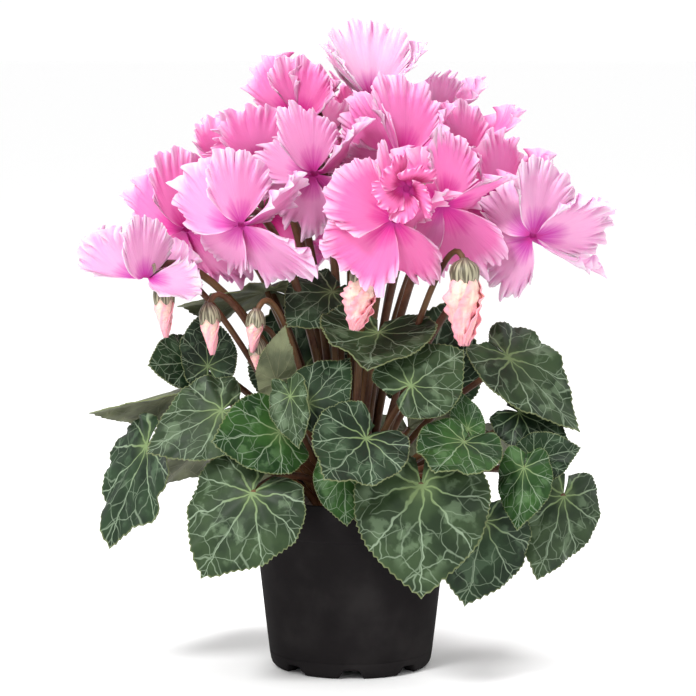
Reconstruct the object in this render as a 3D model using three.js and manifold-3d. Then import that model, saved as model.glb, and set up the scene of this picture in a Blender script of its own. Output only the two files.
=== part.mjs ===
// A potted cyclamen: a black nursery pot with soil, and a half-buried corm whose stalks carry heart-shaped
// leaves, hanging buds and ruffled five-petalled blooms.
// Millimetres, +Z up, origin at the centre of the pot's underside.
import * as THREE from 'three';
import { mergeVertices } from 'three/addons/utils/BufferGeometryUtils.js';
import Module from 'manifold-3d';

const wasm = await Module();
wasm.setup();

// Driving dimensions
const POT_TOP_RADIUS = 65;
const POT_TAPER = 0.125;
const POT_HEIGHT = 112;
const POT_WALL = 1.4;
const POT_SIDES = 24;
const RIM_HEIGHT = 24;
const RIM_STEP = 1.2;
const FOOT_HEIGHT = 8;
const FOOT_INNER_RADIUS = 42;
const FOOT_NOTCHES = 8;
const NOTCH_HEIGHT = 4.6;
const NOTCH_TOP = 10;
const NOTCH_FOOT = 16;
const NOTCH_DEPTH = 16;
const FLOOR_RISE = 5;
const CENTRE_PAD_RADIUS = 14;
const DRAIN_HOLE_RADIUS = 4;
const DRAIN_HOLE_LENGTH = 20;
const DRAIN_HOLE_SIDES = 6;
const SOIL_LEVEL = 99;
const CORM_RADIUS = 27;
const CORM_MIDDLE = 101;
const CORM_SIDES = 10;
const SEAT_GAP = 0.4;
const BLADE_THICKNESS = 0.8;
const LEAST_OVERLAP = 0.001;

// Stalks spring from the corm's crown in three rings, the blooms' innermost.
const STALK_SIDES = 5;
const STALK_ROOT = 100;
const CROWN_SPREAD = 0.07;
const BLOOM_STALK = { radius: 2.7, steps: 5, ring: 3, lean: 0.12, lift: 0.55 };
const LEAF_STALK = { radius: 2.3, steps: 4, ring: 12, lean: 0.1, lift: 0.6 };
const BUD_STALK = { radius: 2.1, steps: 6, ring: 7, lean: 0.32, lift: 0.6 };
const BLOOM_SEAT = 0.9;
const NECK_SHARE = 0.28;
const NECK_INWARD = 0.18;
const NECK_DROP = 0.05;
const LEAF_SEAT = 1;
const LEAF_LEAST_LIFT = 34;
const ELBOW_SHARE = 0.28;
const ELBOW_CLEARANCE = 22;
const HOOK_HEIGHT = 34;
const HOOK_INWARD = 12;

// A leaf's outline, in shares of its length from the stalk to the tip and in turns from the tip.
const LEAF_SPANS = 8;
const LEAF_MIDDLE_ROW = 0.55;
const LEAF_ROUND = 0.58;
const LEAF_LONG = 0.1;
const LEAF_POINT = 0.32;
const LEAF_POINT_TURN = 0.45;
const LEAF_NOTCH_START = rad(130);
const LEAF_NOTCH = rad(171);
const LEAF_NOTCH_DEPTH = 0.45;
const LEAF_TOOTH = 0.05;
const LEAF_LONG_WAVE = 0.05;
const LEAF_SHORT_WAVE = 0.03;
const LEAF_BOW = 0.08;

// A petal fans out from its claw, curls along its length and twists about it, and its margin is ruffled.
const PETALS = 5;
const PETAL_ROWS = [[0, 2], [0.5, 4], [1, 7]];
const PETAL_LENGTH = 46;
const PETAL_HALF_ANGLE = rad(38);
const PETAL_CLAW = 4;
const PETAL_CORNER = 0.2;
const PETAL_CURL = rad(36);
const PETAL_TWIST = rad(16);
const PETAL_TWIST_SHARE = 0.5;
const PETAL_RUFFLE = 4;
const RUFFLES = 3;
const PETAL_CUP = 0.006;
const THROAT_RADIUS = 6;
const THROAT_DEPTH = 3;
const THROAT_SHARE = rad(30);

// A bud is a twisted spindle of rolled petals with five ridges. A ring is its share of the length and radius.
const BUD_AROUND = 10;
const BUD_RINGS = [[0, 0.5], [0.14, 0.92], [0.38, 1], [0.62, 0.78], [0.84, 0.5], [1, 0.22]];
const BUD_TWIST = 1.6;
const BUD_RIDGE = 0.08;
const FRILL_RIDGE = 0.28;
const FRILL_FLARE = 0.5;
const CUP_DEPTH = 5;
const CUP_SIDES = 8;

// How crowded pieces bend clear of each other.
const PIECE_GAP = 1.8;
const CROWDED_GAP = 1.1;
const BEND_SOFTNESS = 6;
const BEND_ROUNDS = 6;
const WALL_DIRECTIONS = 60;
const GOLDEN_ANGLE = 2.399963;

// Heart-shaped leaves. attach is where the stalk meets the blade and tip is its point. face is the way that
// the upper side looks. wide scales its width, fold lifts both sides, droop lowers the margin.
const LEAVES = [
  {
    attach: [-59, -95, 127], tip: [-92, -106, 76], face: [-0.3, -1, 0.35],
    wide: 1.02, fold: 0.05, droop: 0.1,
  },
  { attach: [42, -97, 131], tip: [42, -114, 64], face: [0, -1, 0.35], wide: 1.03, fold: -0.08, droop: 0.1 },
  {
    attach: [9, -98, 160], tip: [-17, -126, 137], face: [0.15, -1, 0.85],
    wide: 1.15, fold: 0.15, droop: 0.05,
  },
  { attach: [68, -92, 157], tip: [49, -124, 141], face: [0.05, -1, 1], wide: 1.1, fold: 0.05, droop: 0 },
  { attach: [35, -80, 189], tip: [69, -68, 212], face: [0, -1, 0.5], wide: 1.12, fold: 0.05, droop: 0.1 },
  { attach: [-79, -72, 172], tip: [-125, -84, 148], face: [-0.2, -1, 0.6], wide: 0.88, fold: 0, droop: 0.08 },
  { attach: [-43, -82, 161], tip: [-84, -104, 158], face: [-0.1, -1, 0.3], wide: 1, fold: 0.12, droop: 0.05 },
  {
    attach: [-127, -38, 146], tip: [-153, -46, 83], face: [-1, -0.75, 0.2],
    wide: 0.85, fold: 0.1, droop: 0.05,
  },
  {
    attach: [-107, -8, 177], tip: [-164, -26, 162], face: [-0.3, 0.4, 1],
    wide: 0.8, fold: -0.15, droop: 0.1,
  },
  { attach: [-100, -24, 196], tip: [-126, -42, 196], face: [-0.3, -1, 0.5], wide: 1.12, fold: 0.1, droop: 0 },
  { attach: [-89, -34, 195], tip: [-94, -26, 230], face: [-0.2, -1, 0.3], wide: 0.9, fold: 0.1, droop: 0 },
  { attach: [-53, 2, 238], tip: [-109, -26, 232], face: [0, 0.55, 1], wide: 0.75, fold: 0.1, droop: 0.1 },
  { attach: [-12, -28, 242], tip: [-39, -54, 225], face: [-0.1, -1, 0.8], wide: 1, fold: 0.1, droop: 0.1 },
  { attach: [17, -50, 214], tip: [10, -88, 194], face: [0, -0.8, 0.9], wide: 1.4, fold: 0.35, droop: 0 },
  { attach: [-26, -80, 179], tip: [-2, -68, 208], face: [-0.2, -1, 0.4], wide: 0.95, fold: 0.1, droop: 0.1 },
  { attach: [-45, -70, 189], tip: [-40, -80, 224], face: [0.2, 0.9, 0.3], wide: 0.62, fold: -0.15, droop: 0 },
  { attach: [-37, -86, 184], tip: [-31, -100, 153], face: [-0.5, -1, 0.4], wide: 0.66, fold: 0.2, droop: 0 },
  {
    attach: [97, -40, 201], tip: [144, -54, 161], face: [0.35, -0.8, 0.9],
    wide: 0.85, fold: 0.15, droop: 0.12,
  },
  { attach: [105, -44, 168], tip: [139, -58, 154], face: [0.2, -1, 0.6], wide: 1, fold: 0.1, droop: 0.05 },
  { attach: [112, -64, 142], tip: [140, -72, 150], face: [0.2, -1, 0.2], wide: 0.9, fold: 0.1, droop: 0.05 },
  {
    attach: [105, -86, 139], tip: [101, -94, 102], face: [-0.3, -1, 0.2],
    wide: 0.75, fold: -0.2, droop: 0.05,
  },
  { attach: [132, -44, 115], tip: [117, -56, 64], face: [0.3, -1, 0.2], wide: 0.9, fold: -0.2, droop: 0.1 },
  { attach: [81, -76, 104], tip: [71, -84, 53], face: [0.3, -1, 0.3], wide: 1.05, fold: 0.05, droop: 0.1 },
  { attach: [-4, -84, 137], tip: [-1, -95, 105], face: [0, -1, 0.3], wide: 0.95, fold: 0.1, droop: 0.05 },
  { attach: [71, -78, 161], tip: [66, -72, 186], face: [0.1, -1, 0.5], wide: 0.7, fold: 0.3, droop: 0 },
  { attach: [-88, 45, 140], tip: [-130, 68, 104], face: [-0.8, 0.6, 0.5], wide: 1, fold: 0.05, droop: 0.1 },
  { attach: [-30, 42, 182], tip: [-42, 40, 236], face: [-0.1, -1, 0.2], wide: 1.1, fold: 0.1, droop: 0.05 },
  { attach: [-30, 90, 140], tip: [-44, 118, 82], face: [-0.2, 1, 0.4], wide: 1.1, fold: 0.05, droop: 0.1 },
  { attach: [38, 92, 138], tip: [52, 122, 82], face: [0.2, 1, 0.4], wide: 1.1, fold: 0.05, droop: 0.1 },
  { attach: [50, 38, 178], tip: [63, 38, 229], face: [0.1, -1, 0.2], wide: 1.1, fold: 0.1, droop: 0.05 },
  { attach: [96, 36, 140], tip: [140, 50, 100], face: [0.9, 0.5, 0.5], wide: 1, fold: 0.05, droop: 0.1 },
];

// Blooms. hub is the middle of the throat, mouth the way that it looks and spin turns the petals round it.
// reflex is how far each petal bends back and twist turns its face further round, all in degrees.
const BLOOMS = [
  {
    hub: [-125, -56, 252], mouth: [-0.15, -0.5, -1], spin: 8, reflex: [-10, 66, 34, 62, 76], size: 0.98,
    twist: [78, 6, 4, 0, -2],
  },
  { hub: [-103, -4, 281], mouth: [-0.15, -0.7, -0.75], spin: 85, reflex: [50, 52, 25, -5, 54], size: 1.1 },
  { hub: [-66, -84, 289], mouth: [-0.05, -0.75, -0.7], spin: 92, reflex: [48, 56, 24, -8, 44], size: 1.12 },
  {
    hub: [-76, 22, 311], mouth: [-0.3, -0.5, -0.9], spin: 88, reflex: [62, 64, 56, 56, 66], size: 1.02,
    twist: [-24, -20, 0, 0, 0],
  },
  {
    hub: [-54, -10, 315], mouth: [-0.1, -0.55, -0.85], spin: 96, reflex: [58, 60, 46, 50, 62], size: 1.1,
    twist: [-24, -14, 0, 0, 0],
  },
  { hub: [-22, -44, 318], mouth: [-0.05, -0.75, -0.7], spin: 100, reflex: [54, 60, 10, 2, 52], size: 1.08 },
  { hub: [26, -92, 292], mouth: [0.35, -1, -0.25], spin: 148, reflex: [5, 0, 14, 48, 50], size: 1.08 },
  {
    hub: [31, -96, 309], mouth: [0, -1, -0.1], spin: 120, reflex: [-45, -50, -45, -50, -45], size: 0.55,
    twist: [18, 18, 18, 18, 18],
  },
  {
    hub: [54, -78, 294], mouth: [0.1, -0.8, -0.7], spin: 84, reflex: [40, 46, 14, 2, 36], size: 1.15,
    twist: [0, 4, 0, 0, 0],
  },
  {
    hub: [12, -18, 359], mouth: [0.05, -0.55, -0.85], spin: 94, reflex: [62, 58, 48, 48, 60], size: 1.12,
    twist: [-36, -66, -10, 0, 0],
  },
  {
    hub: [46, 8, 338], mouth: [0.25, -0.5, -0.9], spin: 80, reflex: [60, 60, 50, 50, 60], size: 1.08,
    twist: [-24, -24, 0, 0, 0],
  },
  {
    hub: [-31, 8, 347], mouth: [-0.15, -0.5, -0.9], spin: 84, reflex: [62, 60, 48, 50, 62], size: 1.1,
    twist: [-24, -24, 0, 0, 0],
  },
  {
    hub: [30, -46, 326], mouth: [0.1, -0.7, -0.75], spin: 88, reflex: [58, 56, 22, 20, 56], size: 1.12,
    twist: [-30, -50, 0, 0, 0],
  },
  {
    hub: [88, -24, 299], mouth: [0.25, -0.6, -0.8], spin: 84, reflex: [56, 58, 40, 40, 58], size: 1.08,
    twist: [-20, -24, 0, 0, 0],
  },
  {
    hub: [68, -6, 319], mouth: [0.2, -0.6, -0.8], spin: 96, reflex: [56, 58, 38, 40, 58], size: 1.08,
    twist: [-20, -24, 0, 0, 0],
  },
  {
    hub: [111, -60, 280], mouth: [-0.3, -0.85, -0.55], spin: 74, reflex: [42, 60, 4, 50, 28], size: 1.15,
    twist: [0, 0, 0, 0, -16],
  },
  { hub: [74, 54, 278], mouth: [0.4, 0.8, -0.8], spin: 90, reflex: [40, 35, 20, 10, 35], size: 1.0 },
  { hub: [10, 78, 282], mouth: [0, 0.9, -0.7], spin: 90, reflex: [40, 35, 15, 10, 35], size: 1.0 },
  { hub: [-56, 66, 286], mouth: [-0.4, 0.8, -0.7], spin: 90, reflex: [40, 35, 15, 10, 35], size: 1.0 },
  { hub: [2, 54, 334], mouth: [0.05, 0.6, -0.8], spin: 90, reflex: [60, 56, 45, 45, 56], size: 1.05 },
];

// Buds hang from hooked stalks. top is where the green cup meets the stalk. frill is how open the petals are.
const BUDS = [
  { top: [-115, -60, 248], length: 27, radius: 5.6, frill: 0.1, tilt: [0.05, 0] },
  { top: [-87, -66, 236], length: 25, radius: 5.4, frill: 0.05, tilt: [0.08, 0] },
  { top: [-58, -62, 232], length: 20, radius: 4.8, frill: 0, tilt: [-0.1, 0] },
  { top: [8, -88, 262], length: 34, radius: 8.5, frill: 0.5, tilt: [-0.15, 0] },
  { top: [68, -88, 265], length: 46, radius: 9.5, frill: 0.5, tilt: [0, 0] },
  { top: [-58, -56, 214], length: 19, radius: 4.6, frill: 0, tilt: [0.1, 0.1] },
];

const COLOURS = {
  pot: material(0x1f1d1e, 0.55),
  soil: material(0x2b211a, 1.0),
  stalk: material(0x6b3a30, 0.55),
  leaf: material(0x4d6a45, 0.6),
  petal: material(0xf08cc4, 0.6),
  bud: material(0xf2bcc6, 0.6),
};

function rad(degrees) {
  return (degrees * Math.PI) / 180;
}

function material(color, roughness) {
  return new THREE.MeshStandardMaterial({ color, roughness, metalness: 0 });
}

function vector(numbers) {
  return new THREE.Vector3(...numbers);
}

// A repeatable draw from -1 to 1 for a piece's number and the draw's own number.
function jitter(piece, draw) {
  const wide = Math.sin(piece * 127.1 + draw * 311.7) * 43758.5453;
  return 2 * (wide - Math.floor(wide)) - 1;
}

function solidOf(geometry) {
  const bare = geometry.index ? geometry.toNonIndexed() : geometry.clone();
  bare.deleteAttribute('normal');
  bare.deleteAttribute('uv');
  const merged = mergeVertices(bare, 1e-4);
  return new wasm.Manifold(
    new wasm.Mesh({
      numProp: 3,
      vertProperties: merged.attributes.position.array,
      triVerts: new Uint32Array(merged.index.array),
    }),
  );
}

function geometryOf(solid) {
  const mesh = solid.getMesh();
  const positions = new Float32Array(mesh.numVert * 3);
  for (let i = 0; i < mesh.numVert; i++) {
    positions.set(mesh.vertProperties.subarray(i * mesh.numProp, i * mesh.numProp + 3), i * 3);
  }
  const geometry = new THREE.BufferGeometry();
  geometry.setAttribute('position', new THREE.BufferAttribute(positions, 3));
  geometry.setIndex(new THREE.BufferAttribute(mesh.triVerts, 1));
  geometry.computeVertexNormals();
  return geometry;
}

// The largest body of a solid that a cut may have left in several.
function largestBody(solid) {
  return solid.decompose().sort((a, b) => b.volume() - a.volume())[0];
}

// How far each point of a middle surface lies from the blade's two faces, as a vector.
function faceOffsets(points, triangles, thickness) {
  const normals = points.map(() => new THREE.Vector3());
  for (const [a, b, c] of triangles) {
    const ab = points[b].clone().sub(points[a]);
    const ac = points[c].clone().sub(points[a]);
    const normal = ab.cross(ac);
    for (const i of [a, b, c]) normals[i].add(normal);
  }
  return normals.map((normal) => normal.normalize().multiplyScalar(thickness / 2));
}

// A closed sheet round a middle surface, split into the same triangles on both faces.
function thicken(points, triangles, offsets) {
  const edges = new Map();
  for (const [a, b, c] of triangles) {
    for (const [i, j] of [[a, b], [b, c], [c, a]]) {
      if (!edges.delete(`${j},${i}`)) edges.set(`${i},${j}`, [i, j]);
    }
  }
  const count = points.length;
  const face = (side) => points.map((p, i) => p.clone().addScaledVector(offsets[i], side));
  const faces = [...triangles, ...triangles.map(([a, b, c]) => [a + count, c + count, b + count])];
  for (const [i, j] of edges.values()) {
    faces.push([i, i + count, j + count], [i, j + count, j]);
  }
  const geometry = new THREE.BufferGeometry().setFromPoints([...face(1), ...face(-1)]);
  geometry.setIndex(faces.flat());
  return geometry;
}

// Triangles between two rows of a sheet, where each span of the first meets a whole number of the second's.
function strip(first, firstCount, second, secondCount) {
  const faces = [];
  const ratio = (secondCount - 1) / (firstCount - 1);
  const half = Math.ceil(ratio / 2);
  for (let i = 0; i < firstCount - 1; i++) {
    const a = first + i;
    const b = second + i * ratio;
    for (let j = 0; j < ratio; j++) faces.push([j < half ? a : a + 1, b + j, b + j + 1]);
    faces.push([a, b + half, a + 1]);
  }
  return faces;
}

// Leaf blades
function leafFrame(leaf) {
  const along = vector(leaf.tip).sub(vector(leaf.attach));
  const length = along.length();
  along.normalize();
  const face = vector(leaf.face).normalize();
  const up = face.addScaledVector(along, -face.dot(along)).normalize();
  return { along, up, side: up.clone().cross(along), length };
}

// A point of the blade: reach runs from 0 at the stalk to 1 at the margin, turn is the angle from the tip.
function leafPoint(leaf, number, reach, turn, tooth) {
  const { along, up, side, length } = leafFrame(leaf);
  const point = LEAF_POINT * Math.exp(-Math.abs(turn) / LEAF_POINT_TURN);
  const lobe = LEAF_ROUND + LEAF_LONG * Math.cos(turn) + point;
  const inNotch = THREE.MathUtils.smoothstep(Math.abs(turn), LEAF_NOTCH_START, LEAF_NOTCH);
  const notch = 1 - LEAF_NOTCH_DEPTH * inNotch;
  const r = length * lobe * notch * reach * (1 - tooth);
  const x = r * Math.sin(turn) * leaf.wide;
  const y = r * Math.cos(turn);
  const longWave = LEAF_LONG_WAVE * Math.sin(3 * turn + 3 * jitter(number, 1));
  const shortWave = LEAF_SHORT_WAVE * Math.sin(5 * turn + 3 * jitter(number, 2));
  const margin = (longWave + shortWave - leaf.droop) * reach * reach;
  const bow = LEAF_BOW * jitter(number, 3) * (y / length) ** 2;
  const height = length * (margin + bow) + leaf.fold * Math.abs(x) * (0.5 + 0.5 * reach);
  return vector(leaf.attach).addScaledVector(side, x).addScaledVector(along, y).addScaledVector(up, height);
}

// A blade's sheet: the stalk's point, a row between, and the margin, with every other point between teeth.
function leafSheet(leaf, number) {
  const points = [leafPoint(leaf, number, 0, 0, 0)];
  const row = (reach, spans, tooth) => {
    for (let i = 0; i <= spans; i++) {
      points.push(leafPoint(leaf, number, reach, LEAF_NOTCH * ((2 * i) / spans - 1), (i % 2) * tooth));
    }
  };
  row(LEAF_MIDDLE_ROW, LEAF_SPANS, 0);
  row(1, 2 * LEAF_SPANS, LEAF_TOOTH);
  const faces = [];
  for (let i = 1; i <= LEAF_SPANS; i++) faces.push([0, i, i + 1]);
  faces.push(...strip(1, LEAF_SPANS + 1, LEAF_SPANS + 2, 2 * LEAF_SPANS + 1));
  return { points, faces };
}

// Blooms
function bloomFrame(bloom) {
  const mouth = vector(bloom.mouth).normalize();
  const up = new THREE.Vector3(0, 0, 1);
  const top = up.addScaledVector(mouth, -up.dot(mouth)).normalize();
  return { mouth, top, right: mouth.clone().cross(top) };
}

// A point on the throat's ring, which the petals grow from.
function throatPoint(bloom, turn) {
  const { mouth, top, right } = bloomFrame(bloom);
  return vector(bloom.hub)
    .addScaledVector(top, THROAT_RADIUS * Math.cos(turn))
    .addScaledVector(right, THROAT_RADIUS * Math.sin(turn))
    .addScaledVector(mouth, THROAT_DEPTH);
}

// A point of petal k: reach runs from 0 at the throat to 1 at the margin, and across from -1 to 1.
function petalPoint(bloom, number, k, reach, across) {
  const { mouth, top, right } = bloomFrame(bloom);
  const draw = number * PETALS + k;
  const turn = rad(bloom.spin - 90 + (360 / PETALS) * k + 4 * jitter(draw, 1));
  if (reach === 0) return throatPoint(bloom, turn + THROAT_SHARE * across);
  const outward = top.clone().multiplyScalar(Math.cos(turn)).addScaledVector(right, Math.sin(turn));
  const sideways = mouth.clone().cross(outward);
  const reflex = bloom.reflex[k];
  const ownTwist = (bloom.twist?.[k] ?? 0) + 3 * jitter(draw, 3);
  const twist = PETAL_TWIST + rad(ownTwist + PETAL_TWIST_SHARE * Math.max(0, reflex));

  const length = PETAL_LENGTH * bloom.size * (1 + 0.1 * jitter(draw, 2));
  const rim = length * (1 - PETAL_CORNER * Math.abs(across) ** 3);
  const r = PETAL_CLAW + reach * (rim - PETAL_CLAW);
  const x = r * Math.sin(PETAL_HALF_ANGLE * across);
  const y = r * Math.cos(PETAL_HALF_ANGLE * across) - PETAL_CLAW;

  const start = rad(reflex) - PETAL_CURL / 2;
  const bend = PETAL_CURL / length;
  const lean = start + bend * y;
  const run = (Math.sin(lean) - Math.sin(start)) / bend;
  const rise = (Math.cos(start) - Math.cos(lean)) / bend;
  const normal = outward.clone().multiplyScalar(Math.sin(lean)).addScaledVector(mouth, Math.cos(lean));

  const ruffleHeight = PETAL_RUFFLE * (1 + 0.3 * jitter(draw, 4));
  const ruffle = ruffleHeight * reach ** 3 * Math.cos(RUFFLES * Math.PI * across);
  const cup = PETAL_CUP * x * x * jitter(draw, 5);
  return vector(bloom.hub)
    .addScaledVector(outward, THROAT_RADIUS + run)
    .addScaledVector(mouth, THROAT_DEPTH - rise)
    .addScaledVector(sideways, x * Math.cos(twist))
    .addScaledVector(normal, x * Math.sin(twist) + ruffle + cup);
}

// A bloom's sheet: the throat's cup, with five petals growing from its ring. Each part is a petal with the
// cup.
function bloomSheet(bloom, number) {
  const points = [vector(bloom.hub)];
  const petals = [];
  const bases = [];
  for (let k = 0; k < PETALS; k++) {
    bases.push(points.length);
    const faces = [];
    PETAL_ROWS.forEach(([reach, count], row) => {
      const first = points.length;
      if (row > 0) {
        const before = PETAL_ROWS[row - 1][1];
        faces.push(...strip(first - before, before, first, count));
      }
      for (let i = 0; i < count; i++) {
        points.push(petalPoint(bloom, number, k, reach, (2 * i) / (count - 1) - 1));
      }
    });
    petals.push(faces);
  }
  const cup = bases.flatMap((base, k) => [[0, base, base + 1], [0, base + 1, bases[(k + 1) % PETALS]]]);
  return { points, faces: [...cup, ...petals.flat()], parts: petals.map((faces) => [...cup, ...faces]) };
}

// Buds
function budAxis(bud) {
  return new THREE.Vector3(bud.tilt[0], bud.tilt[1], -1).normalize();
}

function budRing(bud, share, width) {
  const down = budAxis(bud);
  const side = new THREE.Vector3(1, 0, 0).addScaledVector(down, -down.x).normalize();
  const front = down.clone().cross(side);
  const middle = vector(bud.top).addScaledVector(down, CUP_DEPTH + SEAT_GAP + bud.length * share);
  const ridge = BUD_RIDGE + FRILL_RIDGE * bud.frill * Math.min(1, 2 * share);
  const radius = bud.radius * width * (1 + FRILL_FLARE * bud.frill * share);
  return Array.from({ length: BUD_AROUND }, (_, i) => {
    const turn = (2 * Math.PI * i) / BUD_AROUND + BUD_TWIST * share;
    const r = radius * (i % 2 ? 1 - ridge : 1 + ridge);
    const place = middle.clone().addScaledVector(side, r * Math.cos(turn));
    return place.addScaledVector(front, r * Math.sin(turn));
  });
}

function budRings(bud) {
  return BUD_RINGS.map(([share, width]) => budRing(bud, share, width));
}

function budSolid(bud) {
  const rings = budRings(bud);
  const points = [...rings.flat(), centreOf(rings[0]), centreOf(rings[rings.length - 1])];
  const faces = [];
  const last = (rings.length - 1) * BUD_AROUND;
  for (let i = 0; i < BUD_AROUND; i++) {
    const j = (i + 1) % BUD_AROUND;
    for (let ring = 0; ring < last; ring += BUD_AROUND) {
      const next = ring + BUD_AROUND;
      faces.push([ring + i, ring + j, next + j], [ring + i, next + j, next + i]);
    }
    faces.push([points.length - 2, j, i], [points.length - 1, last + i, last + j]);
  }
  const geometry = new THREE.BufferGeometry().setFromPoints(points);
  geometry.setIndex(faces.flat());
  return solidOf(geometry);
}

// Crowded pieces bend clear of each other. Each pair gets one flat wall between them, square to the direction
// in which they overlap least, and every point of a piece is eased back to its own side of the wall.
// A firm piece stays.
function wallDirections() {
  return Array.from({ length: WALL_DIRECTIONS }, (_, i) => {
    const z = 1 - (i + 0.5) / WALL_DIRECTIONS;
    const r = Math.sqrt(1 - z * z);
    const turn = i * GOLDEN_ANGLE;
    return new THREE.Vector3(r * Math.cos(turn), r * Math.sin(turn), z);
  });
}

function reachAlong(points, direction) {
  const reaches = points.map((p) => p.dot(direction));
  return [Math.min(...reaches), Math.max(...reaches)];
}

function easeBack(piece, direction, wall) {
  for (const p of piece.points) {
    const inside = wall - p.dot(direction);
    const eased = (inside + Math.hypot(inside, BEND_SOFTNESS)) / 2;
    p.addScaledVector(direction, inside - eased);
  }
}

function centreOf(points) {
  return points.reduce((sum, p) => sum.add(p), new THREE.Vector3()).divideScalar(points.length);
}

// The direction in which two pieces overlap least, with how far a reaches up it and how far b reaches down.
function leastOverlap(a, b, directions) {
  let best = { overlap: Infinity };
  for (const direction of [centreOf(b.points).sub(centreOf(a.points)).normalize(), ...directions]) {
    const [lowA, highA] = reachAlong(a.points, direction);
    const [lowB, highB] = reachAlong(b.points, direction);
    if (highA - lowB < best.overlap) best = { overlap: highA - lowB, direction, top: highA, bottom: lowB };
    if (highB - lowA < best.overlap) {
      best = { overlap: highB - lowA, direction: direction.clone().negate(), top: -lowA, bottom: -highB };
    }
  }
  return best;
}

function bendPair(a, b, directions) {
  const { overlap, direction, top, bottom } = leastOverlap(a, b, directions);
  if (overlap < -CROWDED_GAP) return;
  let middle = (top + bottom) / 2;
  if (a.firm) middle = top + PIECE_GAP / 2;
  if (b.firm) middle = bottom - PIECE_GAP / 2;
  if (!a.firm) easeBack(a, direction, middle - PIECE_GAP / 2);
  if (!b.firm) easeBack(b, direction.clone().negate(), -middle - PIECE_GAP / 2);
}

function bendClear(pieces) {
  const directions = wallDirections();
  for (let round = 0; round < BEND_ROUNDS; round++) {
    for (let i = 0; i < pieces.length; i++) {
      for (let j = i + 1; j < pieces.length; j++) {
        if (!(pieces[i].firm && pieces[j].firm)) bendPair(pieces[i], pieces[j], directions);
      }
    }
  }
}

// Stalks
function stalkSection(radius) {
  const shape = new THREE.Shape();
  for (let i = 0; i < STALK_SIDES; i++) {
    const turn = (2 * Math.PI * i) / STALK_SIDES;
    shape[i ? 'lineTo' : 'moveTo'](radius * Math.cos(turn), radius * Math.sin(turn));
  }
  shape.closePath();
  return shape;
}

function stalkSolid(stalk, extra) {
  const geometry = new THREE.ExtrudeGeometry(stalkSection(stalk.radius + extra), {
    steps: stalk.steps,
    extrudePath: stalk.path,
    bevelEnabled: false,
  });
  return solidOf(geometry);
}

// A stalk from its root on the corm's crown, by way of a guide point near its end.
function stalkTo(end, kind, guide) {
  const flat = Math.hypot(end.x, end.y);
  const share = kind.ring / flat + CROWN_SPREAD;
  const root = new THREE.Vector3(share * end.x, share * end.y, STALK_ROOT);
  const lift = Math.max(LEAF_LEAST_LIFT, kind.lift * (end.z - root.z));
  const knee = root.clone().add(new THREE.Vector3(kind.lean * end.x, kind.lean * end.y, lift));
  const path = new THREE.CubicBezierCurve3(root, knee, guide, end);
  return { path, radius: kind.radius, steps: kind.steps };
}

// A bloom's stalk hooks over at the top and meets the throat from behind.
function bloomStalk(bloom, sheet) {
  const { mouth } = bloomFrame(bloom);
  const end = sheet.points[0].clone().addScaledVector(mouth, -BLOOM_SEAT);
  const rise = end.z - STALK_ROOT;
  const inward = new THREE.Vector3(-NECK_INWARD * end.x, -NECK_INWARD * end.y, -NECK_DROP * rise);
  return stalkTo(end, BLOOM_STALK, end.clone().addScaledVector(mouth, -NECK_SHARE * rise).add(inward));
}

// A leaf's stalk clears the pot's rim and meets the underside of the blade squarely.
function leafStalk(sheet) {
  const { points, faces } = sheet;
  const up = new THREE.Vector3();
  for (const [a, b, c] of faces.filter((face) => face[0] === 0)) {
    up.add(points[b].clone().sub(points[a]).cross(points[c].clone().sub(points[a])));
  }
  up.normalize();
  const end = points[0].clone().addScaledVector(up, -LEAF_SEAT);
  const guide = end.clone().addScaledVector(up, -ELBOW_SHARE * Math.hypot(end.x, end.y));
  guide.z = Math.max(guide.z, POT_HEIGHT + ELBOW_CLEARANCE);
  return stalkTo(end, LEAF_STALK, guide);
}

function budStalk(bud) {
  const top = vector(bud.top);
  const down = budAxis(bud);
  const inward = new THREE.Vector3(-top.x, -top.y, 0).normalize();
  const guide = top.clone().addScaledVector(down, -HOOK_HEIGHT).addScaledVector(inward, HOOK_INWARD);
  return stalkTo(top.addScaledVector(down, 1), BUD_STALK, guide);
}

// The green cup at the top of a bud, which the rolled petals hang from.
function budCup(bud) {
  const profile = [[0, CUP_DEPTH], [1, CUP_DEPTH], [0.8, 1.6], [0.3, -1], [0, -1.5]];
  const cup = new THREE.LatheGeometry(
    profile.map(([share, depth]) => new THREE.Vector2(share * bud.radius, -depth)),
    CUP_SIDES,
  );
  cup.applyQuaternion(new THREE.Quaternion().setFromUnitVectors(new THREE.Vector3(0, -1, 0), budAxis(bud)));
  return solidOf(cup.translate(...bud.top));
}

// Pot, soil and corm
function lathe(profile, sides) {
  const geometry = new THREE.LatheGeometry(profile.map(([r, z]) => new THREE.Vector2(r, z)), sides);
  return geometry.rotateX(Math.PI / 2);
}

// The outside radius at height z above the rounded foot.
function potRadius(z) {
  return POT_TOP_RADIUS - POT_TAPER * (POT_HEIGHT - z);
}

function footNotch() {
  const shape = new THREE.Shape();
  shape.moveTo(-NOTCH_FOOT / 2, -1);
  shape.lineTo(NOTCH_FOOT / 2, -1);
  shape.lineTo(NOTCH_TOP / 2, NOTCH_HEIGHT);
  shape.lineTo(-NOTCH_TOP / 2, NOTCH_HEIGHT);
  shape.closePath();
  const notch = new THREE.ExtrudeGeometry(shape, { depth: NOTCH_DEPTH, steps: 1, bevelEnabled: false });
  return notch.rotateX(Math.PI / 2).translate(0, FOOT_INNER_RADIUS + NOTCH_DEPTH - 2, 0);
}

function drainProfile() {
  const half = DRAIN_HOLE_LENGTH / 2;
  return [[0, -half], [DRAIN_HOLE_RADIUS, -half], [DRAIN_HOLE_RADIUS, half], [0, half]];
}

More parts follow.
